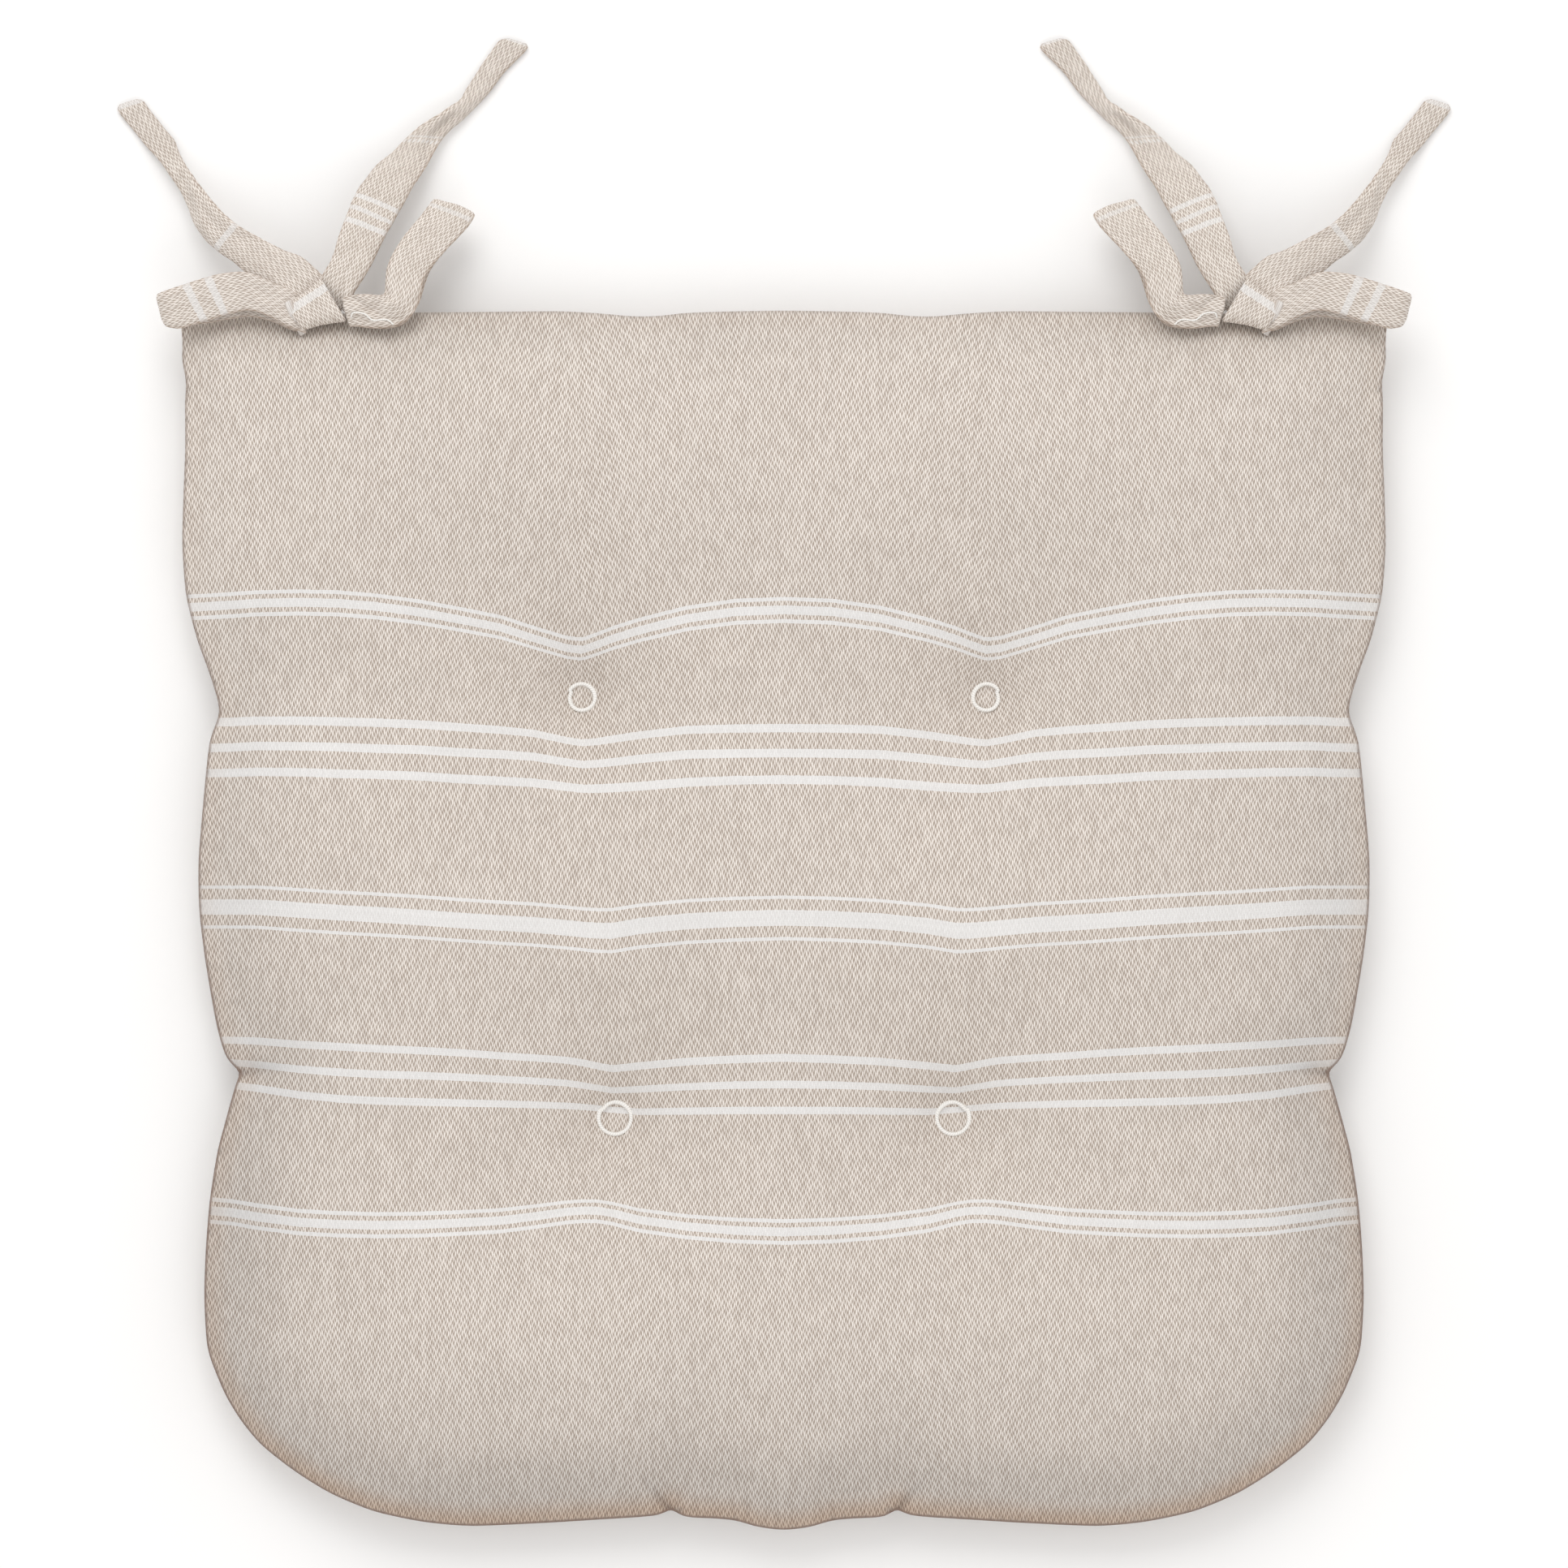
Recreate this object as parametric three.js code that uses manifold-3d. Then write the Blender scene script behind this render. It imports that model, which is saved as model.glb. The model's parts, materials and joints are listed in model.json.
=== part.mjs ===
// Tufted chair seat cushion with two bow-tied corner straps.
//
// Millimetres, +Z up. The origin is the middle of the flat underside; +Y runs to the
// back edge, where the straps are sewn in, and -X is the left side.
//
// The cover is two flat fabric panels sewn together round the edge (knife-edge seam).
// A fibre pad fills it, four stitched rings pull the two panels together through the
// pad, four tack stitches gather the edge, and a fabric strap is caught in the seam
// at each back corner and tied in a bow.

import * as THREE from 'three';
import { mergeVertices } from 'three/addons/utils/BufferGeometryUtils.js';
import Module from 'manifold-3d';

const wasm = await Module();
wasm.setup();

// ---------------------------------------------------------------- driving dimensions
const SEAM_Z = 16;              // height of the perimeter seam above the underside
const FABRIC = 1.0;             // panel thickness
const GAP = 0.3;                // clearance between touching pieces
const CROWN = 28;               // rise of the top panel above the seam
const CROWN_POWER = 4.5;        // how far the crown stays full towards the edge
const CORNER_DROP = 0.38;       // how much flatter the square back corners are
const PINCH_DROP = 0.45;        // how much flatter the panels are at an edge tack

const TUFT_BACK = [67.2, 73.8];     // |x|, y of the back pair of tufts
const TUFT_FRONT = [56.1, -65.4];   // |x|, y of the front pair
const TUFT_TOP_Z = 15;              // top panel height at a tuft
const TUFT_BOTTOM_Z = 5;            // bottom panel height at a tuft
const TUFT_FLAT = 11;               // radius held flat by the stitches
const RING_R = 4.8;                 // stitched ring radius, to the thread's middle
const RING_THREAD_R = 0.55;         // ring thread radius

const STRAP_T = 1.6;            // folded and sewn strap thickness
const SEAM_THREAD_R = 0.45;
const SEAM_INSET = 3.2;         // stitch line's distance inside the edge

// Right half of the edge, from the middle of the back round to the middle of the front.
const EDGE = [
  [0, 202.2], [20, 201.9], [33, 201.4], [42, 200.4], [50, 200.3], [60, 201.2], [74, 202.0],
  [100, 201.8], [130, 201.5], [165, 200.6], [190, 199.2], [197.5, 198.6], [200.2, 195.5],
  [200.6, 186], [199.9, 173.4], [198.7, 157.2], [199.2, 141.1], [199.6, 124.9], [198.5, 108.8],
  [196.7, 100.7], [194.5, 92.6], [191.5, 84.5], [188.8, 76.5], [187.2, 69.0], [190.3, 60.3],
  [191.4, 52.2], [192.9, 36.1], [194.2, 19.9], [194.0, 3.8], [192.1, -12.4], [189.4, -28.5],
  [187.8, -36.6], [185.4, -44.7], [183.0, -48.0], [180.2, -50.4], [181.6, -53.6], [183.7, -60.8],
  [185.9, -68.9], [188.0, -77.0], [190.5, -93.1], [191.8, -109.3], [192.3, -125.4], [191.3, -141.6],
  [188.6, -149.7], [185.1, -157.8], [180.2, -165.8], [173.5, -173.9], [162.5, -182.6], [150.4, -190.1],
  [136.1, -196.0], [119.9, -199.5], [103.8, -200.9], [79.5, -199.9], [63.4, -198.9], [47.2, -197.7],
  [41, -196.9], [37.6, -195.4], [33.8, -196.9], [23, -198.9], [14.9, -200.3], [6.9, -201.7], [0, -202.2],
];
const BACK_CORNER = [200, 198];
const PINCHES = [[187.2, 69.0], [180.2, -50.4], [37.6, -195.4]];   // gathered edge points, right side

// Grid lines that the panels are meshed on; they crowd round the tufts.
const LINES_X = [0, 26, 46, 55, 61.65, 69, 80, 105, 135, 163, 185, 200];
const LINES_Y = [201, 190, 170, 140, 108, 90, 81, 73.8, 66, 56, 35, 5, -25, -48, -58, -65.4, -73, -83,
  -105, -135, -163, -185, -201];

// Right strap and bow: each row is x, y, z, width. The left one is its mirror.
const KNOT = { at: [156, 204.6, 25], half: [11.2, 8.3, 5.6], turn: -0.526 };
const OUTER_TAIL = [
  [162.6, 214.6, 24.5, 7.5], [170, 218.9, 22, 10.5], [179.5, 223.4, 16.5, 13], [187.2, 228, 10.5, 13],
  [194.2, 236, 5.2, 10.5], [203, 251.7, 2.2, 9.5], [211.7, 262.9, 1.5, 10], [219.4, 273.2, 1.5, 10.5],
];
const INNER_TAIL = [
  [145.2, 214.0, 24.5, 8], [139.3, 228.2, 19.5, 13], [135.3, 238.2, 12, 15.5], [127.2, 248.9, 5.5, 15],
  [118, 260.6, 2.2, 13], [108.4, 268.4, 1.6, 11], [102.2, 273.8, 1.5, 10], [94, 283.2, 1.5, 10.5],
  [87.9, 291.2, 1.5, 10.8],
];
const OUTER_LOOP = [[168.9, 204.4, 26, 8], [176, 206.2, 26, 11], [184, 206.8, 25.6, 12.5], [195, 205.6, 25, 13], [206, 203.0, 24.2, 13.4]];
const INNER_LOOP = [
  [143.6, 201.2, 26, 8], [137, 200.6, 26, 9], [130.5, 202.2, 26, 10], [126.2, 207.5, 25, 11.5],
  [123.8, 216, 22, 12.5], [120.6, 225.5, 17.5, 13], [115.5, 232.3, 13.5, 13.2], [108.6, 238.2, 10.5, 13.6],
];
const LOOP_H = 6.6;             // height of a bow loop at its fullest

// ---------------------------------------------------------------- the edge and the panel grid
const EDGE_LOOP = [...EDGE, ...EDGE.slice(1, -1).reverse().map(([x, y]) => [-x, y])];

function edgeRadius(x, y) {                 // distance from the origin to the edge, towards (x, y)
  const r = Math.hypot(x, y) || 1e-9;
  const dx = x / r, dy = y / r;
  for (let i = 0; i < EDGE_LOOP.length; i++) {
    const [ax, ay] = EDGE_LOOP[i], [bx, by] = EDGE_LOOP[(i + 1) % EDGE_LOOP.length];
    const ex = bx - ax, ey = by - ay;
    const den = dx * ey - dy * ex;
    if (Math.abs(den) < 1e-12) continue;
    const s = (ax * ey - ay * ex) / den;
    const t = (ax * dy - ay * dx) / den;
    if (s > 0 && t >= -1e-9 && t <= 1 + 1e-9) return s;
  }
  return 200;
}

const XS = [...LINES_X.slice(1).reverse().map((v) => -v), ...LINES_X];
const YS = LINES_Y;
const NX = XS.length, NY = YS.length;

function gridPoint(i, j) {
  const tx = (TUFT_BACK[0] + TUFT_FRONT[0]) / 2, half = (TUFT_BACK[0] - TUFT_FRONT[0]) / 2;
  const sx = XS[i], sy = YS[j];
  const k = THREE.MathUtils.clamp(2 * (sy - TUFT_FRONT[1]) / (TUFT_BACK[1] - TUFT_FRONT[1]) - 1, -1, 1);
  const a = Math.abs(sx);
  const bump = a <= tx ? a / tx : (200 - a) / (200 - tx);
  let x = sx + Math.sign(sx) * half * k * bump, y = sy;
  if (a < 1e-9) x = 0;
  // carry the rectangular grid's rim onto the real edge
  const ex = Math.abs(x) / 200, ey = Math.abs(y) / 201;
  const rho = Math.max(ex, ey);
  if (rho > 1e-9) {
    const rect = Math.hypot(x, y) / rho;
    const f = edgeRadius(x, y) / rect;
    const w = Math.pow(rho, 4);
    x *= 1 + (f - 1) * w;
    y *= 1 + (f - 1) * w;
  }
  return [x, y];
}
const GRID = XS.map((_, i) => YS.map((__, j) => gridPoint(i, j)));
for (const [px, py] of PINCHES) for (const side of [-1, 1]) {   // the rim's nearest corner sits in each gather
  let best = null;
  for (let i = 0; i < NX; i++) for (let j = 0; j < NY; j++) {
    if (i && j && i < NX - 1 && j < NY - 1) continue;
    const d = Math.hypot(GRID[i][j][0] - side * px, GRID[i][j][1] - py);
    if (!best || d < best.d) best = { d, i, j };
  }
  GRID[best.i][best.j] = [side * px, py];
}

const TUFTS = [
  ['back_left', -TUFT_BACK[0], TUFT_BACK[1]], ['back_right', TUFT_BACK[0], TUFT_BACK[1]],
  ['front_left', -TUFT_FRONT[0], TUFT_FRONT[1]], ['front_right', TUFT_FRONT[0], TUFT_FRONT[1]],
];

function fromEdge(x, y) { return Math.min(1, Math.hypot(x, y) / edgeRadius(x, y)); }

function fullness(x, y) {
  const dc = Math.hypot(Math.abs(x) - BACK_CORNER[0], y - BACK_CORNER[1]);
  let f = 1 - CORNER_DROP * Math.exp(-Math.pow(dc / 75, 2));
  for (const [px, py] of PINCHES) {
    const d = Math.hypot(Math.abs(x) - px, y - py);
    f *= 1 - PINCH_DROP * Math.exp(-Math.pow(d / 22, 1.6));
  }
  return f;
}

function pulled(x, y, z, target, reach) {   // a tuft draws the panel to its own height
  for (const [, tx, ty] of TUFTS) {
    const d = Math.max(0, Math.hypot(x - tx, y - ty) - TUFT_FLAT);
    const g = Math.exp(-Math.pow(d / reach, 1.25));
    z += (target - z) * g;
  }
  return z;
}

function topZ(x, y) {                       // outer face of the top panel
  const rho = fromEdge(x, y);
  const c = Math.pow(Math.max(0, 1 - Math.pow(rho, CROWN_POWER)), 0.62);
  return pulled(x, y, SEAM_Z + GAP / 2 + FABRIC + CROWN * c * fullness(x, y), TUFT_TOP_Z, 24);
}

function bottomZ(x, y) {                    // outer face of the bottom panel
  const t = Math.max(0, (fromEdge(x, y) - 0.62) / 0.38);
  const z = (SEAM_Z - GAP / 2 - FABRIC) * (1 - Math.sqrt(Math.max(0, 1 - Math.pow(t, 2.5))));
  return pulled(x, y, z, TUFT_BOTTOM_Z, 13);
}

// A closed body between two heights over the panel grid; skip leaves out that many rings of cells.
function layered(upper, lower, skip = 0) {
  const i0 = skip, i1 = NX - 1 - skip, j0 = skip, j1 = NY - 1 - skip;
  const nx = i1 - i0 + 1, ny = j1 - j0 + 1;
  const pos = [], index = [];
  const id = (i, j, side) => side * nx * ny + (i - i0) * ny + (j - j0);
  for (const side of [0, 1]) {
    for (let i = i0; i <= i1; i++) for (let j = j0; j <= j1; j++) {
      const [x, y] = GRID[i][j];
      pos.push(x, y, side ? upper(x, y) : lower(x, y));
    }
  }
  for (let i = i0; i < i1; i++) for (let j = j0; j < j1; j++) {
    const a = [i, j], b = [i + 1, j], c = [i + 1, j + 1], d = [i, j + 1];   // YS falls, so a-d-c-b is anticlockwise
    const cut = (XS[i] + XS[i + 1] < 0) === (YS[j] + YS[j + 1] > 0) ? [[a, d, c], [a, c, b]] : [[a, d, b], [d, c, b]];
    for (const [p, q, r] of cut) {
      index.push(id(...p, 1), id(...q, 1), id(...r, 1));
      index.push(id(...p, 0), id(...r, 0), id(...q, 0));
    }
  }
  const rim = [];
  for (let j = j0; j < j1; j++) rim.push([i0, j]);
  for (let i = i0; i < i1; i++) rim.push([i, j1]);
  for (let j = j1; j > j0; j--) rim.push([i1, j]);
  for (let i = i1; i > i0; i--) rim.push([i, j0]);
  for (let k = 0; k < rim.length; k++) {
    const p = rim[k], q = rim[(k + 1) % rim.length];
    index.push(id(...p, 0), id(...q, 0), id(...q, 1), id(...p, 0), id(...q, 1), id(...p, 1));
  }
  const g = new THREE.BufferGeometry();
  g.setAttribute('position', new THREE.Float32BufferAttribute(pos, 3));
  g.setIndex(index);
  return g;
}

// ---------------------------------------------------------------- booleans
function welded(geometry) {
  const g = geometry.clone();
  for (const name of Object.keys(g.attributes)) if (name !== 'position') g.deleteAttribute(name);
  return mergeVertices(g, 1e-4);
}

function solid(geometry) {
  const g = welded(geometry);
  return new wasm.Manifold(new wasm.Mesh({
    numProp: 3,
    vertProperties: new Float32Array(g.attributes.position.array),
    triVerts: new Uint32Array(g.index.array),
  }));
}

function geometryOf(manifold) {
  const m = manifold.getMesh();
  const g = new THREE.BufferGeometry();
  g.setAttribute('position', new THREE.BufferAttribute(new Float32Array(m.vertProperties), 3));
  g.setIndex(new THREE.BufferAttribute(new Uint32Array(m.triVerts), 1));
  return g;
}

// ---------------------------------------------------------------- strips, loops and knots
function rail(rows, side) {                 // a smooth centre line with a width
  const curve = new THREE.CatmullRomCurve3(rows.map(([x, y, z]) => new THREE.Vector3(side * x, y, z)), false, 'centripetal');
  const widths = rows.map((r) => r[3]);
  const at = (u) => {
    u = THREE.MathUtils.clamp(u, 0, 1);
    const p = curve.getPoint(u), t = curve.getTangent(u);
    const across = new THREE.Vector3(0, 0, 1).cross(t).normalize();
    const up = t.clone().cross(across).normalize();
    const f = u * (widths.length - 1), k = Math.min(widths.length - 2, Math.floor(f));
    return { p, across, up, width: THREE.MathUtils.lerp(widths[k], widths[k + 1], f - k) };
  };
  return { at, length: curve.getLength() };
}

function strip(rows, side, cells) {         // a flat sewn strip along a rail
  const { at } = rail(rows, side);
  const g = new THREE.BoxGeometry(1, 1, 1, cells, 2, 1);
  const p = g.attributes.position;
  for (let n = 0; n < p.count; n++) {
    const u = p.getX(n) + 0.5, v = p.getY(n), w = p.getZ(n);
    const f = at(u);
    const q = f.p.clone().addScaledVector(f.across, v * f.width).addScaledVector(f.up, w * STRAP_T);
    p.setXYZ(n, q.x, q.y, q.z);
  }
  return g;
}

function bowLoop(rows, side) {              // a strip folded back on itself, open through the middle
  const { at, length } = rail(rows, side);
  const L = length, T = STRAP_T, N = 12;
  const half = (s) => {                     // half height of the loop at s along it
    const k = s / L;
    const body = 1.9 + (LOOP_H / 2 - 1.9) * Math.sin(Math.min(1, k / 0.7) * Math.PI / 2);
    const nose = L - s < LOOP_H / 2 ? Math.sqrt(Math.max(0, 1 - Math.pow(1 - (L - s) / (LOOP_H / 2), 2))) : 1;
    return body * nose;
  };
  const stations = [];
  for (let k = 0; k <= N; k++) stations.push(L * (1 - Math.pow(1 - k / N, 1.6)));
  const outer = new THREE.Shape();
  const low = stations.map((s) => new THREE.Vector2(s, -half(s)));
  const high = stations.slice(0, -1).reverse().map((s) => new THREE.Vector2(s, half(s)));
  outer.setFromPoints([...low, ...high]);
  const inner = stations.filter((s) => s > 0.2 * L && s < L - T - 0.6);
  const gap = (s) => Math.max(0.25, half(s) - T);
  const hole = new THREE.Path();
  hole.setFromPoints([
    ...inner.map((s) => new THREE.Vector2(s, gap(s))),
    new THREE.Vector2(L - T, 0),
    ...inner.slice().reverse().map((s) => new THREE.Vector2(s, -gap(s))),
  ]);
  outer.holes.push(hole);
  const g = new THREE.ExtrudeGeometry(outer, { depth: 1, steps: 1, bevelEnabled: false, curveSegments: 1 });
  const p = g.attributes.position;
  for (let n = 0; n < p.count; n++) {
    const f = at(p.getX(n) / L);
    const q = f.p.clone().addScaledVector(f.across, (0.5 - p.getZ(n)) * f.width).addScaledVector(f.up, p.getY(n));
    p.setXYZ(n, q.x, q.y, q.z);
  }
  return g;
}

function knot(side) {                       // a wrapped bundle, fuller than an ellipsoid
  const g = new THREE.SphereGeometry(1, 16, 10);
  const p = g.attributes.position;
  const [a, b, c] = KNOT.half;
  for (let n = 0; n < p.count; n++) {
    const v = new THREE.Vector3(p.getX(n), p.getY(n), p.getZ(n)).normalize();
    const e = Math.pow(Math.pow(Math.abs(v.x), 2.6) + Math.pow(Math.abs(v.y), 2.6) + Math.pow(Math.abs(v.z), 2.6), 1 / 2.6);
    const x = a * v.x / e, y = b * v.y / e, z = c * v.z / e;
    const co = Math.cos(side * KNOT.turn), si = Math.sin(side * KNOT.turn);
    p.setXYZ(n, x * co - y * si, x * si + y * co, z);
  }
  return g;
}

// ---------------------------------------------------------------- materials
const cloth = (name, colour, rough) => {
  const m = new THREE.MeshStandardMaterial({ color: colour, roughness: rough, metalness: 0, side: THREE.DoubleSide });
  m.name = name;
  return m;
};
const COLOURS = {
  cover: 0xd6cdc4, under: 0xd2c8be, strap: 0xd8cfc7, fibre: 0xf4f2ee, thread: 0xefece6,
};

const cushion = new THREE.Group();
cushion.name = 'seat_cushion';

function piece(parent, name, geometry, colour, rough = 0.9, at = [0, 0, 0]) {
  geometry = welded(geometry);
  geometry.computeVertexNormals();
  const mesh = new THREE.Mesh(geometry, cloth(name, colour, rough));
  mesh.name = name;
  mesh.position.set(...at);
  parent.add(mesh);
  return mesh;
}

// ---------------------------------------------------------------- cover and filling
const pad = new THREE.Group();
cushion.add(pad);

piece(pad, 'top_cover', layered((x, y) => topZ(x, y), (x, y) => topZ(x, y) - FABRIC), COLOURS.cover);
piece(pad, 'bottom_cover', layered((x, y) => bottomZ(x, y) + FABRIC, (x, y) => bottomZ(x, y)), COLOURS.under);

// the fibre pad stops short of the seam, and has a passage for each tuft's stitches
const CLEAR = FABRIC + 0.4;
let fibre = solid(layered((x, y) => topZ(x, y) - CLEAR, (x, y) => bottomZ(x, y) + CLEAR, 1));
for (const [, x, y] of TUFTS) {
  const passage = new THREE.CylinderGeometry(RING_R + 1.5, RING_R + 1.5, 40, 20);
  passage.rotateX(Math.PI / 2);
  passage.translate(x, y, SEAM_Z);
  fibre = fibre.subtract(solid(passage));
}
piece(pad, 'fibre_filling', geometryOf(fibre), COLOURS.fibre, 1);

// ---------------------------------------------------------------- seam and edge stitches
{
  const rim = [];                           // the panel's rim from the middle of the back, clockwise
  const mid = (NX - 1) / 2;
  for (let i = mid; i < NX; i++) rim.push(GRID[i][0]);
  for (let j = 1; j < NY; j++) rim.push(GRID[NX - 1][j]);
  for (let i = NX - 2; i >= 0; i--) rim.push(GRID[i][NY - 1]);
  for (let j = NY - 2; j >= 0; j--) rim.push(GRID[0][j]);
  for (let i = 1; i < mid; i++) rim.push(GRID[i][0]);
  const inset = rim.map(([x, y]) => {
    const k = 1 - SEAM_INSET * (Math.abs(x) > 190 && y > 190 ? 1.414 : 1) / Math.hypot(x, y);
    return new THREE.Vector3(x * k, y * k, SEAM_Z);
  });
  inset[0].x = 0.5;
  const route = new THREE.CatmullRomCurve3([...inset, new THREE.Vector3(-0.5, inset[0].y, SEAM_Z)], false, 'centripetal');
  const section = new THREE.Shape();
  for (let k = 0; k < 4; k++) {
    const a = (k + 0.5) * Math.PI / 2;
    section[k ? 'lineTo' : 'moveTo'](SEAM_THREAD_R * Math.cos(a), SEAM_THREAD_R * Math.sin(a));
  }
  section.closePath();
  piece(pad, 'perimeter_seam_thread', new THREE.ExtrudeGeometry(section, { steps: 132, bevelEnabled: false, extrudePath: route }), COLOURS.thread, 0.7);
}

function tack(name, x, y) {                 // a short bar of thread that gathers the edge
  const g = new THREE.SphereGeometry(1, 10, 6);
  g.scale(0.75, 0.75, 2.2);
  const k = 1 + 1.35 / Math.hypot(x, y);
  piece(pad, name, g, COLOURS.thread, 0.7, [x * k, y * k, SEAM_Z]);
}
tack('side_tack_left', -PINCHES[1][0], PINCHES[1][1]);
tack('side_tack_right', PINCHES[1][0], PINCHES[1][1]);
tack('front_tack_left', -PINCHES[2][0], PINCHES[2][1]);
tack('front_tack_right', PINCHES[2][0], PINCHES[2][1]);

// ---------------------------------------------------------------- tufts
for (const [name, x, y] of TUFTS) {
  const ring = () => new THREE.TorusGeometry(RING_R, RING_THREAD_R, 5, 18);
  piece(pad, `tuft_${name}_top_ring`, ring(), COLOURS.thread, 0.7, [x, y, TUFT_TOP_Z + RING_THREAD_R + GAP]);
  piece(pad, `tuft_${name}_bottom_ring`, ring(), COLOURS.thread, 0.7, [x, y, TUFT_BOTTOM_Z - RING_THREAD_R - GAP]);
  const half = (TUFT_TOP_Z - TUFT_BOTTOM_Z) / 2 - CLEAR;
  const wall = [[RING_R - 0.4, -half], [RING_R + 0.4, -half], [RING_R + 0.4, half], [RING_R - 0.4, half], [RING_R - 0.4, -half]];
  const through = new THREE.LatheGeometry(wall.map(([r, h]) => new THREE.Vector2(r, h)), 18);
  through.rotateX(Math.PI / 2);
  piece(pad, `tuft_${name}_through_stitches`, through, COLOURS.thread, 0.7, [x, y, (TUFT_TOP_Z + TUFT_BOTTOM_Z) / 2]);
}

// ---------------------------------------------------------------- straps, each tied in a bow
for (const [name, side] of [['left', -1], ['right', 1]]) {
  // the end caught between the panels
  piece(pad, `${name}_strap_sewn_end`, strip([[153, 190.8, 16, 14], [153, 194, 16, 14], [153, 197.2, 16, 14]], side, 2), COLOURS.strap);

  const tie = new THREE.Group();
  cushion.add(tie);
  piece(tie, `${name}_strap_root`, strip([[153.8, 202.3, 16, 13], [153.8, 204.5, 16.2, 12], [153.8, 207, 17, 11]], side, 3), COLOURS.strap);
  piece(tie, `${name}_bow_knot`, knot(side), COLOURS.strap, 0.9, [side * KNOT.at[0], KNOT.at[1], KNOT.at[2]]);
  piece(tie, `${name}_bow_outer_loop`, bowLoop(OUTER_LOOP, side), COLOURS.strap);
  piece(tie, `${name}_bow_inner_loop`, bowLoop(INNER_LOOP, side), COLOURS.strap);
  piece(tie, `${name}_outer_tail`, strip(OUTER_TAIL, side, 18), COLOURS.strap);
  piece(tie, `${name}_inner_tail`, strip(INNER_TAIL, side, 20), COLOURS.strap);
}

export default cushion;
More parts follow.
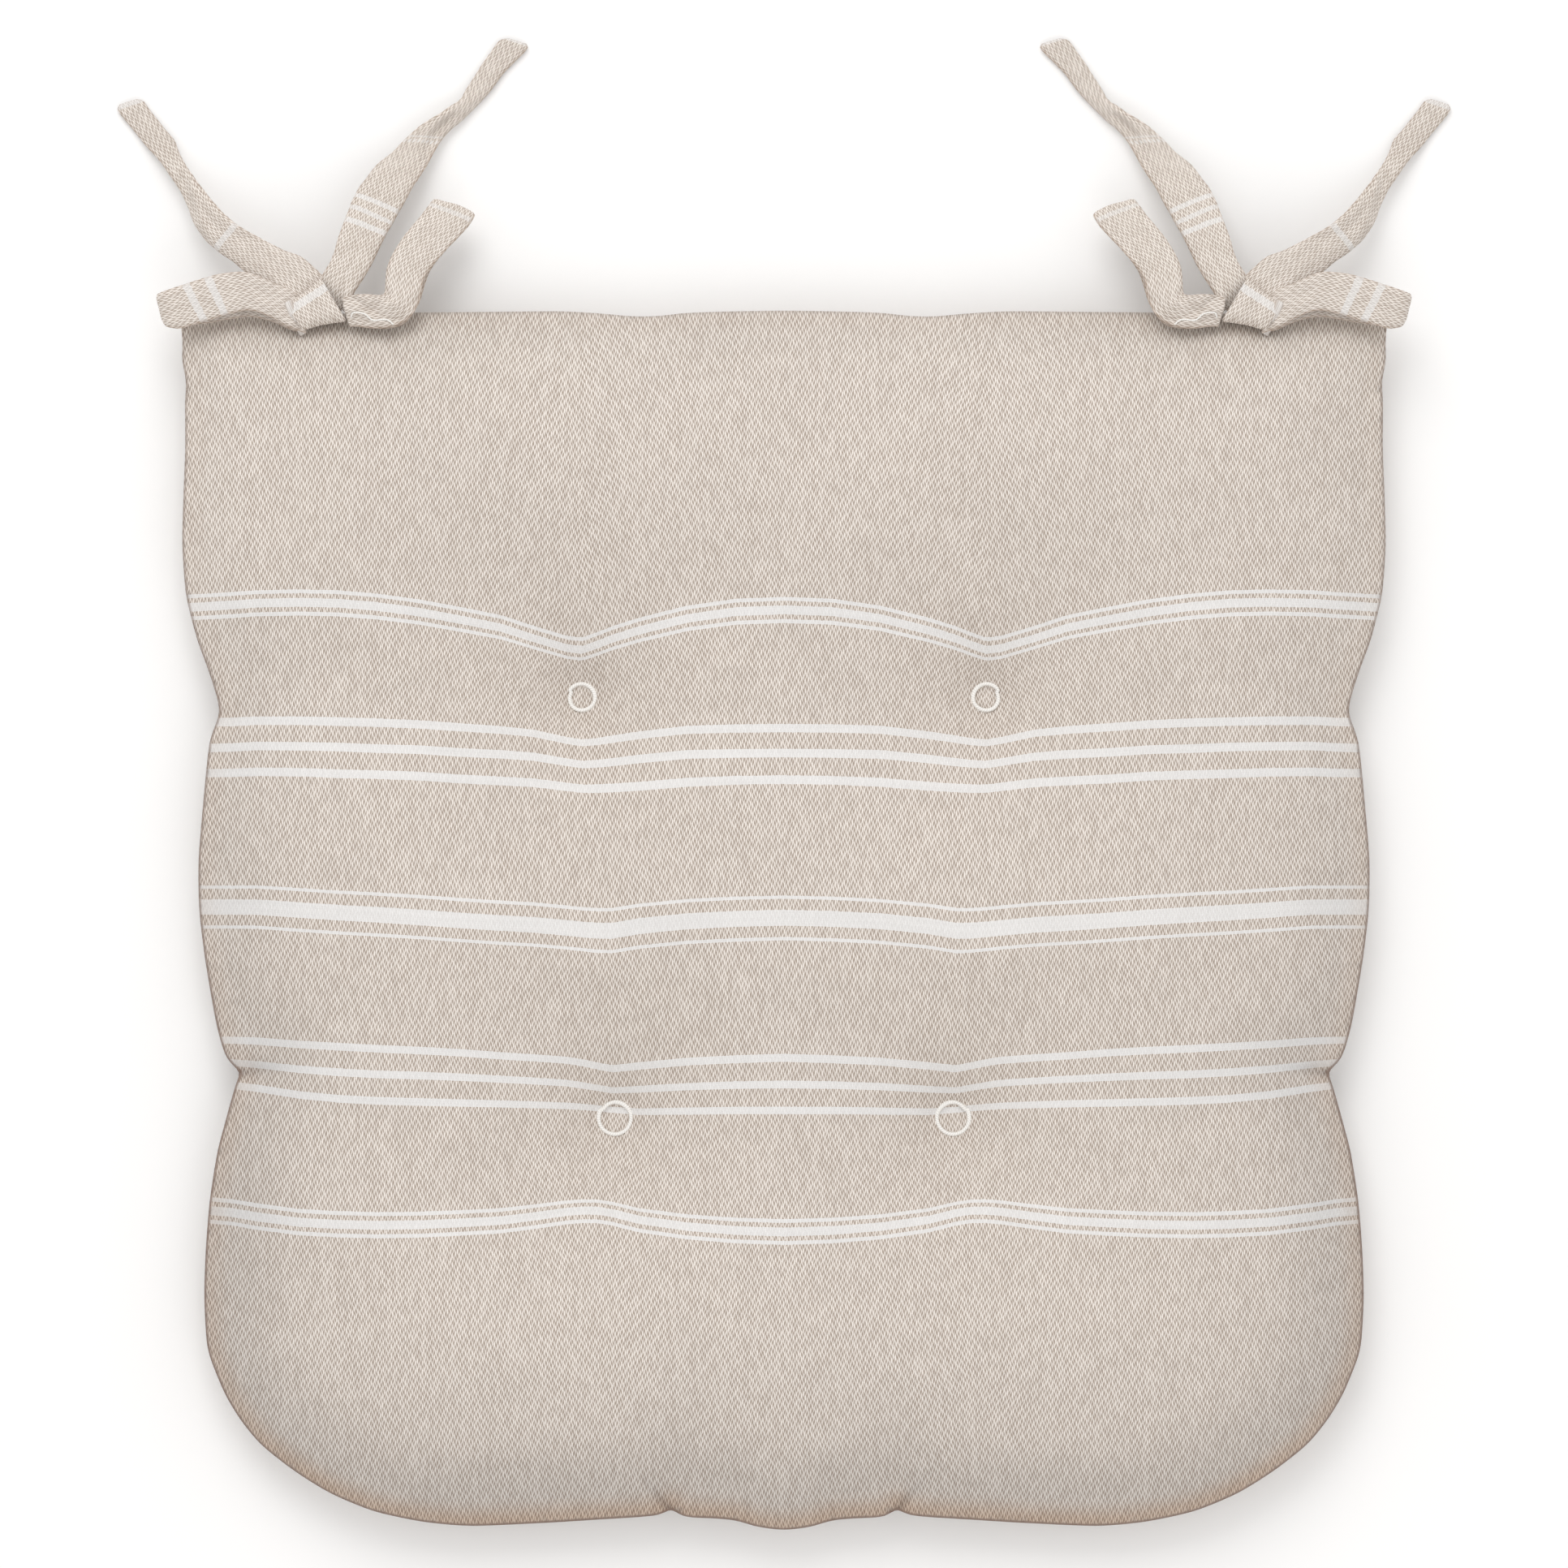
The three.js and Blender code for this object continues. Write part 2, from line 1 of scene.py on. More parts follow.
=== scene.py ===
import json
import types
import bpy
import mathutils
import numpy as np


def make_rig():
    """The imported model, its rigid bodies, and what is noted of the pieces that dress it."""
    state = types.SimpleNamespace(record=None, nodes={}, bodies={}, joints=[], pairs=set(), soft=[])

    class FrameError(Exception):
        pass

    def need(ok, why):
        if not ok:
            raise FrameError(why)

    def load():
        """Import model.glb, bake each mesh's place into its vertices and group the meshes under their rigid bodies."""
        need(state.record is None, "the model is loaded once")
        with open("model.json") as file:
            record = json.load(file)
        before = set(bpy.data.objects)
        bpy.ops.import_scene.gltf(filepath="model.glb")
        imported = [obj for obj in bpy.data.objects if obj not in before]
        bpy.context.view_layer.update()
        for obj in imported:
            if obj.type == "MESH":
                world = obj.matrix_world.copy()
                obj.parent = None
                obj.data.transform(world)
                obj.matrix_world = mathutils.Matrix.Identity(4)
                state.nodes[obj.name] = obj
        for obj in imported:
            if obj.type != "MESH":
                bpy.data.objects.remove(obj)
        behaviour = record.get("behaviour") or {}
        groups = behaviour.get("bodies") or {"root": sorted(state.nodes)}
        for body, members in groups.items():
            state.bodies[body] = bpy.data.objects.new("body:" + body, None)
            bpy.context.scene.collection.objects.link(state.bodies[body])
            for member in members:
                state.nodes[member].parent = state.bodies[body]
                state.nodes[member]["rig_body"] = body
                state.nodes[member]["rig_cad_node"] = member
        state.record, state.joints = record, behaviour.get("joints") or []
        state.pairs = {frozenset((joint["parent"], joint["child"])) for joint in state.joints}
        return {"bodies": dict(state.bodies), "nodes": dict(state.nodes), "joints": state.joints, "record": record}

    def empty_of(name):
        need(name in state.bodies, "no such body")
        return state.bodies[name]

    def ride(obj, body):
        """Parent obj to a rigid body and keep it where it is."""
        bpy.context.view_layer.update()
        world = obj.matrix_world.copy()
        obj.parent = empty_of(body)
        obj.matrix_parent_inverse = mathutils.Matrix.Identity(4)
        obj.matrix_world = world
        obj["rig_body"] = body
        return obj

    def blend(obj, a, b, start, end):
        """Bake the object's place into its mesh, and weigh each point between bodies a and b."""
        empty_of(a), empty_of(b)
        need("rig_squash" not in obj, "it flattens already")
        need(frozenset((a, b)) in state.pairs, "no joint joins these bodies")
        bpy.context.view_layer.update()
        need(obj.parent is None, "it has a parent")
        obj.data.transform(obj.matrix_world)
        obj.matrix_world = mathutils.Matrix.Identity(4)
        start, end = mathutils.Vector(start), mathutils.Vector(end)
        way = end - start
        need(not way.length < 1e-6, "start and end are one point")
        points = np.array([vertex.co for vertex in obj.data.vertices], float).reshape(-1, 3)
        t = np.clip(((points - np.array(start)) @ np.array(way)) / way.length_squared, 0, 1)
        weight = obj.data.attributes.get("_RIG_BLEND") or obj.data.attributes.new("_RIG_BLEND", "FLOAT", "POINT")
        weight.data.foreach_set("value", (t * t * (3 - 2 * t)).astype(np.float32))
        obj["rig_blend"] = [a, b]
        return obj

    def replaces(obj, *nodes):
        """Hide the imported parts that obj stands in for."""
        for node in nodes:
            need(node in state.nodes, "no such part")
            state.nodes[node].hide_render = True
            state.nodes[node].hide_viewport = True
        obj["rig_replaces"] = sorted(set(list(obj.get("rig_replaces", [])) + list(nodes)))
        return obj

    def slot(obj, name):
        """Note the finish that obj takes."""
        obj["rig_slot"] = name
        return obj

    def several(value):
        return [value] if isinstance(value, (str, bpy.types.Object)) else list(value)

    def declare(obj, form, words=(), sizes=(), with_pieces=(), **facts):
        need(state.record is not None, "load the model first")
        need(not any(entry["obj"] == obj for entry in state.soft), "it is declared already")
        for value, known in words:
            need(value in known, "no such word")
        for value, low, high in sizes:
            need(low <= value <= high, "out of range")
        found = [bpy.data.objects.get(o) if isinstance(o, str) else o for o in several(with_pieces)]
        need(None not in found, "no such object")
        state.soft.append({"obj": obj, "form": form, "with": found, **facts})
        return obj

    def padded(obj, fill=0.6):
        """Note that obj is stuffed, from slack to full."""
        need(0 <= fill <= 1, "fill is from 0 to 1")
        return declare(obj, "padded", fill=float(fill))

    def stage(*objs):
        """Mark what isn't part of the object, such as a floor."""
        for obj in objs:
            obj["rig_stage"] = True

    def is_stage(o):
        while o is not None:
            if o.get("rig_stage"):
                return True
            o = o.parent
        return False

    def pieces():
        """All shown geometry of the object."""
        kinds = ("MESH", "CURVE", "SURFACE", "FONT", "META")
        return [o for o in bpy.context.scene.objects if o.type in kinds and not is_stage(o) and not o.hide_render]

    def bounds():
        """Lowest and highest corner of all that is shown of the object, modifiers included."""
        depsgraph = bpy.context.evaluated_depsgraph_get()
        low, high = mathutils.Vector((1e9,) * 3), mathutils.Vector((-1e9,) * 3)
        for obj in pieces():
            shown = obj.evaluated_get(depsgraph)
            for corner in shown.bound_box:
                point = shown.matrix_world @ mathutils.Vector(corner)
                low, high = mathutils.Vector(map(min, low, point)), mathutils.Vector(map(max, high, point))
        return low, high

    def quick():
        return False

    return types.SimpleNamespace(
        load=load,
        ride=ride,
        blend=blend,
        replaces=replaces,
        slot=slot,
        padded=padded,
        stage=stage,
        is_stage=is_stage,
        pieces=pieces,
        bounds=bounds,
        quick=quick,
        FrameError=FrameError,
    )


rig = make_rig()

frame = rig.load()

import json
import math
import random
import bpy
import bmesh
import numpy as np
from mathutils import Vector, Matrix
from mathutils.geometry import delaunay_2d_cdt


def plain(v):
    return [[float(c) for c in p] for p in v]


cad_bounds = plain(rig.bounds())
MM = 0.001
random.seed(7)
rng = np.random.default_rng(7)

# ------------------------------------------------------------------ the cushion's dimensions, mm
SEAM_Z = 16.0
EDGE = [
    (0, 202.2), (20, 201.9), (33, 201.4), (42, 200.4), (50, 200.3), (60, 201.2), (74, 202.0),
    (100, 201.8), (130, 201.5), (165, 200.9), (187, 200.0), (196.0, 198.0), (199.9, 197.0), (199.9, 195.8),
    (199.4, 191.2), (199.8, 186.3), (198.7, 181.0), (198.2, 177.4), (198.7, 172.6), (198.6, 157.2), (199.2, 141.1), (199.6, 124.9), (198.5, 108.8),
    (196.7, 100.7), (194.5, 92.6), (191.5, 84.5), (188.8, 76.5), (187.2, 69.0), (190.3, 60.3),
    (191.4, 52.2), (192.9, 36.1), (194.2, 19.9), (194.0, 3.8), (192.1, -12.4), (189.4, -28.5),
    (187.8, -36.6), (185.4, -44.7), (183.0, -48.0), (180.2, -50.4), (181.6, -53.6), (183.7, -60.8),
    (185.9, -68.9), (188.0, -77.0), (190.5, -93.1), (191.8, -109.3), (192.3, -125.4), (191.3, -141.6),
    (188.6, -149.7), (185.1, -157.8), (180.2, -165.8), (173.5, -173.9), (162.5, -182.6), (150.4, -190.1),
    (136.1, -196.0), (119.9, -199.5), (103.8, -200.9), (79.5, -199.9), (63.4, -198.9), (47.2, -197.9),
    (41.9, -197.3), (39.5, -196.4), (37.6, -195.4), (35.8, -196.3), (33.4, -197.7), (31.0, -198.1), (23, -198.4), (16.4, -199.0), (13, -199.9), (10, -200.9),
    (5, -201.8), (0, -202.2)]
PINCHES = [(187.2, 69.0), (180.2, -50.4), (37.6, -195.4)]
# the folds that run in from the gathers: start, direction and depth
FOLDS = [(180.2, -50.4, -0.998, 0.06, 3.0), (37.6, -195.4, 0.63, 0.777, 3.2), (187.2, 69.0, -0.995, -0.1, 0.8)]
TUFTS = {"back_left": (-67.2, 73.8, 4.2), "back_right": (67.2, 73.8, 4.2),
         "front_left": (-56.1, -65.4, 5.1), "front_right": (56.1, -65.4, 5.1)}   # x, y, ring radius
TUFT_TOP, TUFT_BOTTOM = 15.0, 5.0

# Where each weft stripe lies: |x| stations and the stripe's y there (mm), and its place in the flat cloth.
LINE_X = [0, 16, 32, 48, 57, 62, 67, 72, 83, 94, 108, 121, 135, 148, 161, 175, 183, 200]
LINE_Y = {
    "A": (103.0, 102.4, 100.1, 96.1, 93.3, 91.3, 89.5, 90.1, 93.4, 97.0, 99.8, 102.2, 104.1, 105.2, 105.5, 105.2, 104.6, 103.6),
    "B1": (63.7, 63.6, 63.2, 61.4, 60.1, 59.3, 58.9, 59.7, 62.1, 63.2, 64.1, 65.0, 65.6, 65.9, 66.2, 66.2, 65.8, 65.6),
    "B2": (55.5, 55.4, 55.1, 53.6, 52.5, 52.0, 51.7, 52.5, 54.3, 55.1, 55.7, 56.6, 56.9, 57.5, 57.7, 57.8, 57.3, 56.8),
    "B3": (46.6, 46.4, 45.7, 44.4, 43.9, 43.7, 43.7, 44.3, 45.6, 46.2, 46.9, 47.8, 48.3, 48.6, 49.1, 49.2, 48.9, 48.7),
    "C": (0.9, 0.5, -0.3, -1.9, -3.5, -3.5, -3.1, -2.6, -1.6, -1.0, -0.1, 0.9, 1.8, 2.5, 3.4, 4.4, 4.4, 4.4),
    "D1": (-45.6, -46.1, -46.9, -48.4, -49.4, -48.4, -47.3, -46.5, -45.7, -45.0, -43.9, -43.2, -42.6, -41.9, -41.2, -40.1, -39.9, -39.7),
    "D2": (-54.5, -54.7, -55.2, -56.1, -56.5, -55.6, -54.8, -54.0, -53.3, -52.7, -52.0, -51.5, -51.1, -50.4, -49.4, -47.9, -47.2, -46.8),
    "D3": (-63.1, -63.1, -63.3, -63.5, -62.8, -62.3, -61.9, -61.6, -61.2, -60.9, -60.6, -60.3, -59.9, -59.2, -57.9, -55.6, -54.6, -54.0),
    "E": (-103.4, -102.9, -101.6, -99.3, -97.0, -96.2, -96.2, -96.6, -98.2, -99.6, -100.4, -101.0, -101.2, -100.9, -100.2, -98.4, -97.0, -95.4),
}
LINE_V = {"A": 105.2, "B1": 65.9, "B2": 57.5, "B3": 48.9, "C": 3.0, "D1": -42.2, "D2": -50.7, "D3": -59.4, "E": -100.9}
GROW = 1.035                                   # the flat cloth is this much larger than the pad's plan

# stripes in the flat cloth: centre, half width (mm)
STRIPES = []
for name in ("A", "E"):
    c = LINE_V[name]
    STRIPES += [(c, 1.5), (c + 3.75, 0.66), (c - 3.75, 0.66)]
for name in ("B1", "B2", "B3"):
    STRIPES.append((LINE_V[name], 1.42))
STRIPES += [(LINE_V["C"], 2.6), (LINE_V["C"] + 6.8, 0.55), (LINE_V["C"] - 6.8, 0.55)]
for name in ("D1", "D2", "D3"):
    STRIPES.append((LINE_V[name], 1.28))


# ------------------------------------------------------------------ camera and light
FRAME_WIDTH = 0.5201                           # metres across the picture, at the seam's height
cam_data = bpy.data.cameras.new("camera")
cam = bpy.data.objects.new("camera", cam_data)
bpy.context.scene.collection.objects.link(cam)
DIST = 2.4
cam_data.sensor_width = 36.0
cam_data.lens = 36.0 * DIST / FRAME_WIDTH
cam_data.clip_end = 20.0
SIGHT_Y = 45.2                                 # mm
cam.location = (0.0, SIGHT_Y * MM, SEAM_Z * MM + DIST)
cam.rotation_euler = (0, 0, 0)
bpy.context.scene.camera = cam


def area(name, loc, target, size, watts, colour=(1, 1, 1)):
    d = bpy.data.lights.new(name, "AREA")
    d.energy, d.size, d.color = watts, size, colour
    o = bpy.data.objects.new(name, d)
    o.location = loc
    o.rotation_euler = (Vector(target) - Vector(loc)).to_track_quat("-Z", "Y").to_euler()
    bpy.context.scene.collection.objects.link(o)
    return o


area("key", (-0.30, 1.35, 1.45), (0, 0, 0), 1.2, 13.0, (1.0, 0.99, 0.98))
area("fill", (0.5, -1.5, 1.7), (0, 0, 0), 1.6, 6.0, (1.0, 0.985, 0.97))
world = bpy.data.worlds.new("world")
world.use_nodes = True
world.node_tree.nodes["Background"].inputs[0].default_value = (1.0, 0.99, 0.98, 1)
world.node_tree.nodes["Background"].inputs[1].default_value = 0.86
bpy.context.scene.world = world
bpy.context.scene.view_settings.view_transform = "Standard"


# ------------------------------------------------------------------ materials
def lin(r, g, b):
    return tuple((c / 12.92 if c <= 0.04045 else ((c + 0.055) / 1.055) ** 2.4) for c in (r / 255, g / 255, b / 255)) + (1.0,)


class Nodes:
    """Small helper for building node trees."""

    def __init__(self, mat):
        mat.use_nodes = True
        self.t = mat.node_tree
        self.t.nodes.clear()
        self.out = self.t.nodes.new("ShaderNodeOutputMaterial")
        self.bsdf = self.t.nodes.new("ShaderNodeBsdfPrincipled")
        self.t.links.new(self.bsdf.outputs[0], self.out.inputs[0])

    def link(self, a, b):
        self.t.links.new(a, b)

    def math(self, op, a, b=None, c=None, clamp=False):
        n = self.t.nodes.new("ShaderNodeMath")
        n.operation = op
        n.use_clamp = clamp
        for i, v in enumerate((a, b, c)):
            if v is None:
                continue
            if isinstance(v, (int, float)):
                n.inputs[i].default_value = v
            else:
                self.link(v, n.inputs[i])
        return n.outputs[0]

    def mix(self, fac, a, b, mode="MIX"):
        n = self.t.nodes.new("ShaderNodeMix")
        n.data_type = "RGBA"
        n.blend_type = mode
        if isinstance(fac, (int, float)):
            n.inputs[0].default_value = fac
        else:
            self.link(fac, n.inputs[0])
        for i, v in ((6, a), (7, b)):
            if isinstance(v, tuple):
                n.inputs[i].default_value = v
            else:
                self.link(v, n.inputs[i])
        return n.outputs[2]

    def noise(self, vec, scale, detail=2.0, rough=0.5, out=0):
        n = self.t.nodes.new("ShaderNodeTexNoise")
        n.inputs["Scale"].default_value = scale
        n.inputs["Detail"].default_value = detail
        n.inputs["Roughness"].default_value = rough
        if vec is not None:
            self.link(vec, n.inputs["Vector"])
        return n.outputs[out]

    def combine(self, x, y, z=0.0):
        n = self.t.nodes.new("ShaderNodeCombineXYZ")
        for i, v in enumerate((x, y, z)):
            if isinstance(v, (int, float)):
                n.inputs[i].default_value = v
            else:
                self.link(v, n.inputs[i])
        return n.outputs[0]

    def smooth(self, v, lo, hi, a=0.0, b=1.0):
        n = self.t.nodes.new("ShaderNodeMapRange")
        n.interpolation_type = "SMOOTHSTEP"
        self.link(v, n.inputs[0])
        for i, x in ((1, lo), (2, hi), (3, a), (4, b)):
            n.inputs[i].default_value = x
        return n.outputs[0]


END, PICK4 = 0.582, 3.07                     # one warp end, and four picks (mm)


def fabric(name, stripes, rough=0.88, edge=None, scale=1.0, pale=0.0, ragged=0.35):
    """Flat-woven four-end broken twill: cream warp over taupe weft, with white weft stripes."""
    mat = bpy.data.materials.new(name)
    n = Nodes(mat)
    uvn = n.t.nodes.new("ShaderNodeUVMap")
    uvn.uv_map = "cloth"
    sep = n.t.nodes.new("ShaderNodeSeparateXYZ")
    n.link(uvn.outputs[0], sep.inputs[0])
    u0, v0 = sep.outputs[0], sep.outputs[1]
    # slight drift of the yarns
    wob = n.noise(n.combine(n.math("MULTIPLY", u0, 0.06), n.math("MULTIPLY", v0, 0.06)), 1.0, 2.0)
    wob2 = n.noise(n.combine(n.math("MULTIPLY", u0, 0.05), n.math("MULTIPLY", v0, 0.05), 7.3), 1.0, 2.0)
    u = n.math("ADD", u0, n.math("MULTIPLY", n.math("SUBTRACT", wob, 0.5), 1.6))
    v = n.math("ADD", v0, n.math("MULTIPLY", n.math("SUBTRACT", wob2, 0.5), 1.2))
    u4 = n.math("DIVIDE", u, END * scale)
    col = n.math("FLOOR", u4)
    fu = n.math("SUBTRACT", u4, col)
    c4 = n.math("FLOORED_MODULO", col, 4.0)
    low = n.math("LESS_THAN", c4, 1.5)
    o_low = n.math("MULTIPLY", c4, 0.25)
    o_high = n.math("MULTIPLY", n.math("SUBTRACT", 5.0, c4), 0.25)
    off = n.math("ADD", n.math("MULTIPLY", low, o_low), n.math("MULTIPLY", n.math("SUBTRACT", 1.0, low), o_high))
    # each float leans a little, alternately, as the plies do
    lean = n.math("MULTIPLY", n.math("SUBTRACT", fu, 0.5), n.math("SUBTRACT", 0.4, n.math("MULTIPLY", low, 0.8)))
    vv = n.math("ADD", n.math("ADD", n.math("DIVIDE", v, PICK4 * scale), off), lean)
    row = n.math("FLOOR", vv)
    t = n.math("SUBTRACT", vv, row)
    away = n.math("ABSOLUTE", n.math("SUBTRACT", t, 0.5))
    floatm = n.smooth(away, 0.20, 0.38, 1.0, 0.0)
    round_u = n.math("SINE", n.math("MULTIPLY", fu, math.pi))
    warp = n.math("MULTIPLY", floatm, n.smooth(round_u, 0.1, 0.5))
    wn = n.t.nodes.new("ShaderNodeTexWhiteNoise")
    wn.noise_dimensions = "2D"
    n.link(n.combine(col, row), wn.inputs["Vector"])
    speck = n.math("MULTIPLY", n.math("SUBTRACT", wn.outputs[0], 0.5), 0.42)
    # slub: yarn to yarn tone
    slub_u = n.noise(n.combine(n.math("MULTIPLY", u, 0.9), n.math("MULTIPLY", v, 0.035)), 1.0, 2.0)
    slub_v = n.noise(n.combine(n.math("MULTIPLY", u, 0.03), n.math("MULTIPLY", v, 0.8), 3.1), 1.0, 2.0)
    cloudy = n.noise(n.combine(n.math("MULTIPLY", u, 0.012), n.math("MULTIPLY", v, 0.012), 9.0), 1.0, 3.0)
    m = n.math("ADD", warp, speck, clamp=True)
    cream = lin(235 + 4 * pale, 228 + 4 * pale, 221 + 4 * pale)
    taupe = lin(167 + 10 * pale, 154 + 10 * pale, 143 + 10 * pale)
    base = n.mix(m, taupe, cream)
    # stripes, with the edge picks a little uneven
    jit = n.math("MULTIPLY", n.math("SUBTRACT", n.noise(n.combine(n.math("MULTIPLY", u, 1.1), v0), 1.0, 1.0), 0.5), ragged)
    vs = n.math("ADD", v0, jit)
    stripe = None
    for centre, half, *full in stripes:
        k = n.math("COMPARE", vs, centre, half)
        if full:
            k = n.math("MULTIPLY", k, full[0])
        if len(full) > 1:
            k = n.math("MULTIPLY", k, n.smooth(n.math("SINE", n.math("MULTIPLY", u0, 2 * math.pi / full[1])), -0.5, 0.3))
        stripe = k if stripe is None else n.math("MAXIMUM", stripe, k)
    if stripe is not None:
        white_lo, white_hi = lin(211, 208, 206), lin(234, 233, 232)
        fine = n.math("ADD", n.math("MULTIPLY", m, 0.55), n.math("MULTIPLY", n.noise(n.combine(n.math("MULTIPLY", u, 2.4), n.math("MULTIPLY", v, 2.4)), 1.0, 2.0), 0.6))
        base = n.mix(stripe, base, n.mix(fine, white_lo, white_hi))
    tone = n.math("ADD", n.math("MULTIPLY", n.math("SUBTRACT", slub_u, 0.5), 0.10),
                  n.math("ADD", n.math("MULTIPLY", n.math("SUBTRACT", slub_v, 0.5), 0.10),
                         n.math("MULTIPLY", n.math("SUBTRACT", cloudy, 0.5), 0.10)))
    hsv = n.t.nodes.new("ShaderNodeHueSaturation")
    n.link(base, hsv.inputs["Color"])
    n.link(n.math("ADD", 1.0, tone), hsv.inputs["Value"])
    colour = hsv.outputs[0]
    # painted shade: the seam's shadow is painted as a fine brown line; on the pad, painted shade also darkens and warms
    # the cloth towards its front and sides
    en = n.t.nodes.new("ShaderNodeUVMap")
    en.uv_map = "edge"
    es = n.t.nodes.new("ShaderNodeSeparateXYZ")
    n.link(en.outputs[0], es.inputs[0])
    if edge == "pad":
        sn = n.t.nodes.new("ShaderNodeUVMap")
        sn.uv_map = "shade"
        ss = n.t.nodes.new("ShaderNodeSeparateXYZ")
        n.link(sn.outputs[0], ss.inputs[0])
        # painted shade: darker towards the front and sides
        colour = n.mix(ss.outputs[0], colour, (0.02, 0.02, 0.03, 1))
        # painted shade: warmer and darker close to the rim
        colour = n.mix(ss.outputs[1], colour, n.mix(1.0, colour, (0.88, 0.74, 0.63, 1), "MULTIPLY"))
        # painted shadow: the fine brown line at the seam
        colour = n.mix(n.math("MULTIPLY", n.smooth(es.outputs[0], 0.4, 1.25, 0.95, 0.0), es.outputs[1]), colour, lin(124, 98, 83))
    else:
        # painted shade: a thin brown line along the strap's edges, stronger along one edge
        colour = n.mix(n.math("MULTIPLY", n.smooth(es.outputs[0], 0.2, 1.1, 1.0, 0.0), es.outputs[1]), colour, lin(150, 122, 98))
    n.link(colour, n.bsdf.inputs["Base Color"])
    n.link(n.math("SUBTRACT", rough + 0.05, n.math("MULTIPLY", m, 0.12)), n.bsdf.inputs["Roughness"])
    n.bsdf.inputs["Specular IOR Level"].default_value = 0.25
    n.bsdf.inputs["Sheen Weight"].default_value = 0.18
    n.bsdf.inputs["Sheen Roughness"].default_value = 0.5
    n.bsdf.inputs["Sheen Tint"].default_value = (1.0, 0.97, 0.94, 1)
    # relief: rounded warp floats, the weft between them, and hairiness
    round_v = n.math("ABSOLUTE", n.math("SINE", n.math("MULTIPLY", n.math("DIVIDE", v, PICK4 * scale / 4), math.pi)))
    weft = n.math("MULTIPLY", n.math("SUBTRACT", 1.0, floatm), n.math("MULTIPLY", round_v, 0.55))
    relief = n.math("ADD", n.math("MULTIPLY", floatm, round_u), weft)
    fuzz = n.noise(n.combine(n.math("MULTIPLY", u, 3.0), n.math("MULTIPLY", v, 3.0), 2.0), 1.0, 3.0, 0.6)
    h = n.math("ADD", relief, n.math("MULTIPLY", fuzz, 0.35))
    bump = n.t.nodes.new("ShaderNodeBump")
    bump.inputs["Strength"].default_value = 0.55
    bump.inputs["Distance"].default_value = 0.00018
    n.link(h, bump.inputs["Height"])
    n.link(bump.outputs[0], n.bsdf.inputs["Normal"])
    return mat


def thread_material(name, colour=(250, 248, 244)):
    """Two-ply sewing thread: a helical twist along the thread, slightly glossy."""
    mat = bpy.data.materials.new(name)
    n = Nodes(mat)
    uvn = n.t.nodes.new("ShaderNodeUVMap")
    uvn.uv_map = "cloth"
    sep = n.t.nodes.new("ShaderNodeSeparateXYZ")
    n.link(uvn.outputs[0], sep.inputs[0])
    ply = n.math("SINE", n.math("MULTIPLY", n.math("ADD", n.math("MULTIPLY", sep.outputs[0], 2.0), n.math("DIVIDE", sep.outputs[1], 0.8)), 2 * math.pi))
    k = n.math("ADD", 0.5, n.math("MULTIPLY", ply, 0.5))
    fib = n.noise(n.combine(n.math("MULTIPLY", sep.outputs[0], 9.0), n.math("MULTIPLY", sep.outputs[1], 1.3)), 1.0, 3.0)
    k2 = n.math("ADD", n.math("MULTIPLY", k, 0.7), n.math("MULTIPLY", fib, 0.3))
    # painted shade: the thread is painted darker in the grooves between its plies, where its relief is low
    dark = lin(*(c * 0.88 for c in colour))
    n.link(n.mix(k2, dark, lin(*colour)), n.bsdf.inputs["Base Color"])
    n.link(n.math("ADD", 0.5, n.math("MULTIPLY", fib, 0.25)), n.bsdf.inputs["Roughness"])
    n.bsdf.inputs["Sheen Weight"].default_value = 0.15
    n.bsdf.inputs["Specular IOR Level"].default_value = 0.4
    bump = n.t.nodes.new("ShaderNodeBump")
    bump.inputs["Strength"].default_value = 0.6
    bump.inputs["Distance"].default_value = 0.00012
    n.link(k2, bump.inputs["Height"])
    n.link(bump.outputs[0], n.bsdf.inputs["Normal"])
    return mat


def fibre_material():
    mat = bpy.data.materials.new("fibre wadding")
    n = Nodes(mat)
    tc = n.t.nodes.new("ShaderNodeTexCoord")
    a = n.noise(tc.outputs["Object"], 900.0, 4.0, 0.7)
    b = n.noise(tc.outputs["Object"], 60.0, 3.0, 0.6)
    k = n.math("ADD", n.math("MULTIPLY", a, 0.6), n.math("MULTIPLY", b, 0.4))
    n.link(n.mix(k, lin(222, 220, 214), lin(250, 249, 246)), n.bsdf.inputs["Base Color"])
    n.link(n.math("ADD", 0.75, n.math("MULTIPLY", a, 0.25)), n.bsdf.inputs["Roughness"])
    n.bsdf.inputs["Sheen Weight"].default_value = 0.3
    bump = n.t.nodes.new("ShaderNodeBump")
    bump.inputs["Strength"].default_value = 0.7
    bump.inputs["Distance"].default_value = 0.0008
    n.link(k, bump.inputs["Height"])
    n.link(bump.outputs[0], n.bsdf.inputs["Normal"])
    return mat


MAT_THREAD = thread_material("sewing thread")
MAT_FIBRE = fibre_material()


# ------------------------------------------------------------------ mesh helpers
def new_object(name, verts, faces, mat, uv=None, smooth=True):
    me = bpy.data.meshes.new(name)
    me.from_pydata([tuple(v) for v in verts], [], [tuple(f) for f in faces])
    me.update()
    if uv is not None:
        layer = me.uv_layers.new(name="cloth")
        loops = np.empty(len(me.loops), dtype=np.int32)
        me.loops.foreach_get("vertex_index", loops)
        data = np.asarray(uv, dtype=np.float32)[loops] if len(uv) == len(me.vertices) else np.asarray(uv, dtype=np.float32)
        layer.data.foreach_set("uv", data.reshape(-1))
    if smooth:
        me.polygons.foreach_set("use_smooth", [True] * len(me.polygons))
    o = bpy.data.objects.new(name, me)
    bpy.context.scene.collection.objects.link(o)
    if mat is not None:
        me.materials.append(mat)
    return o


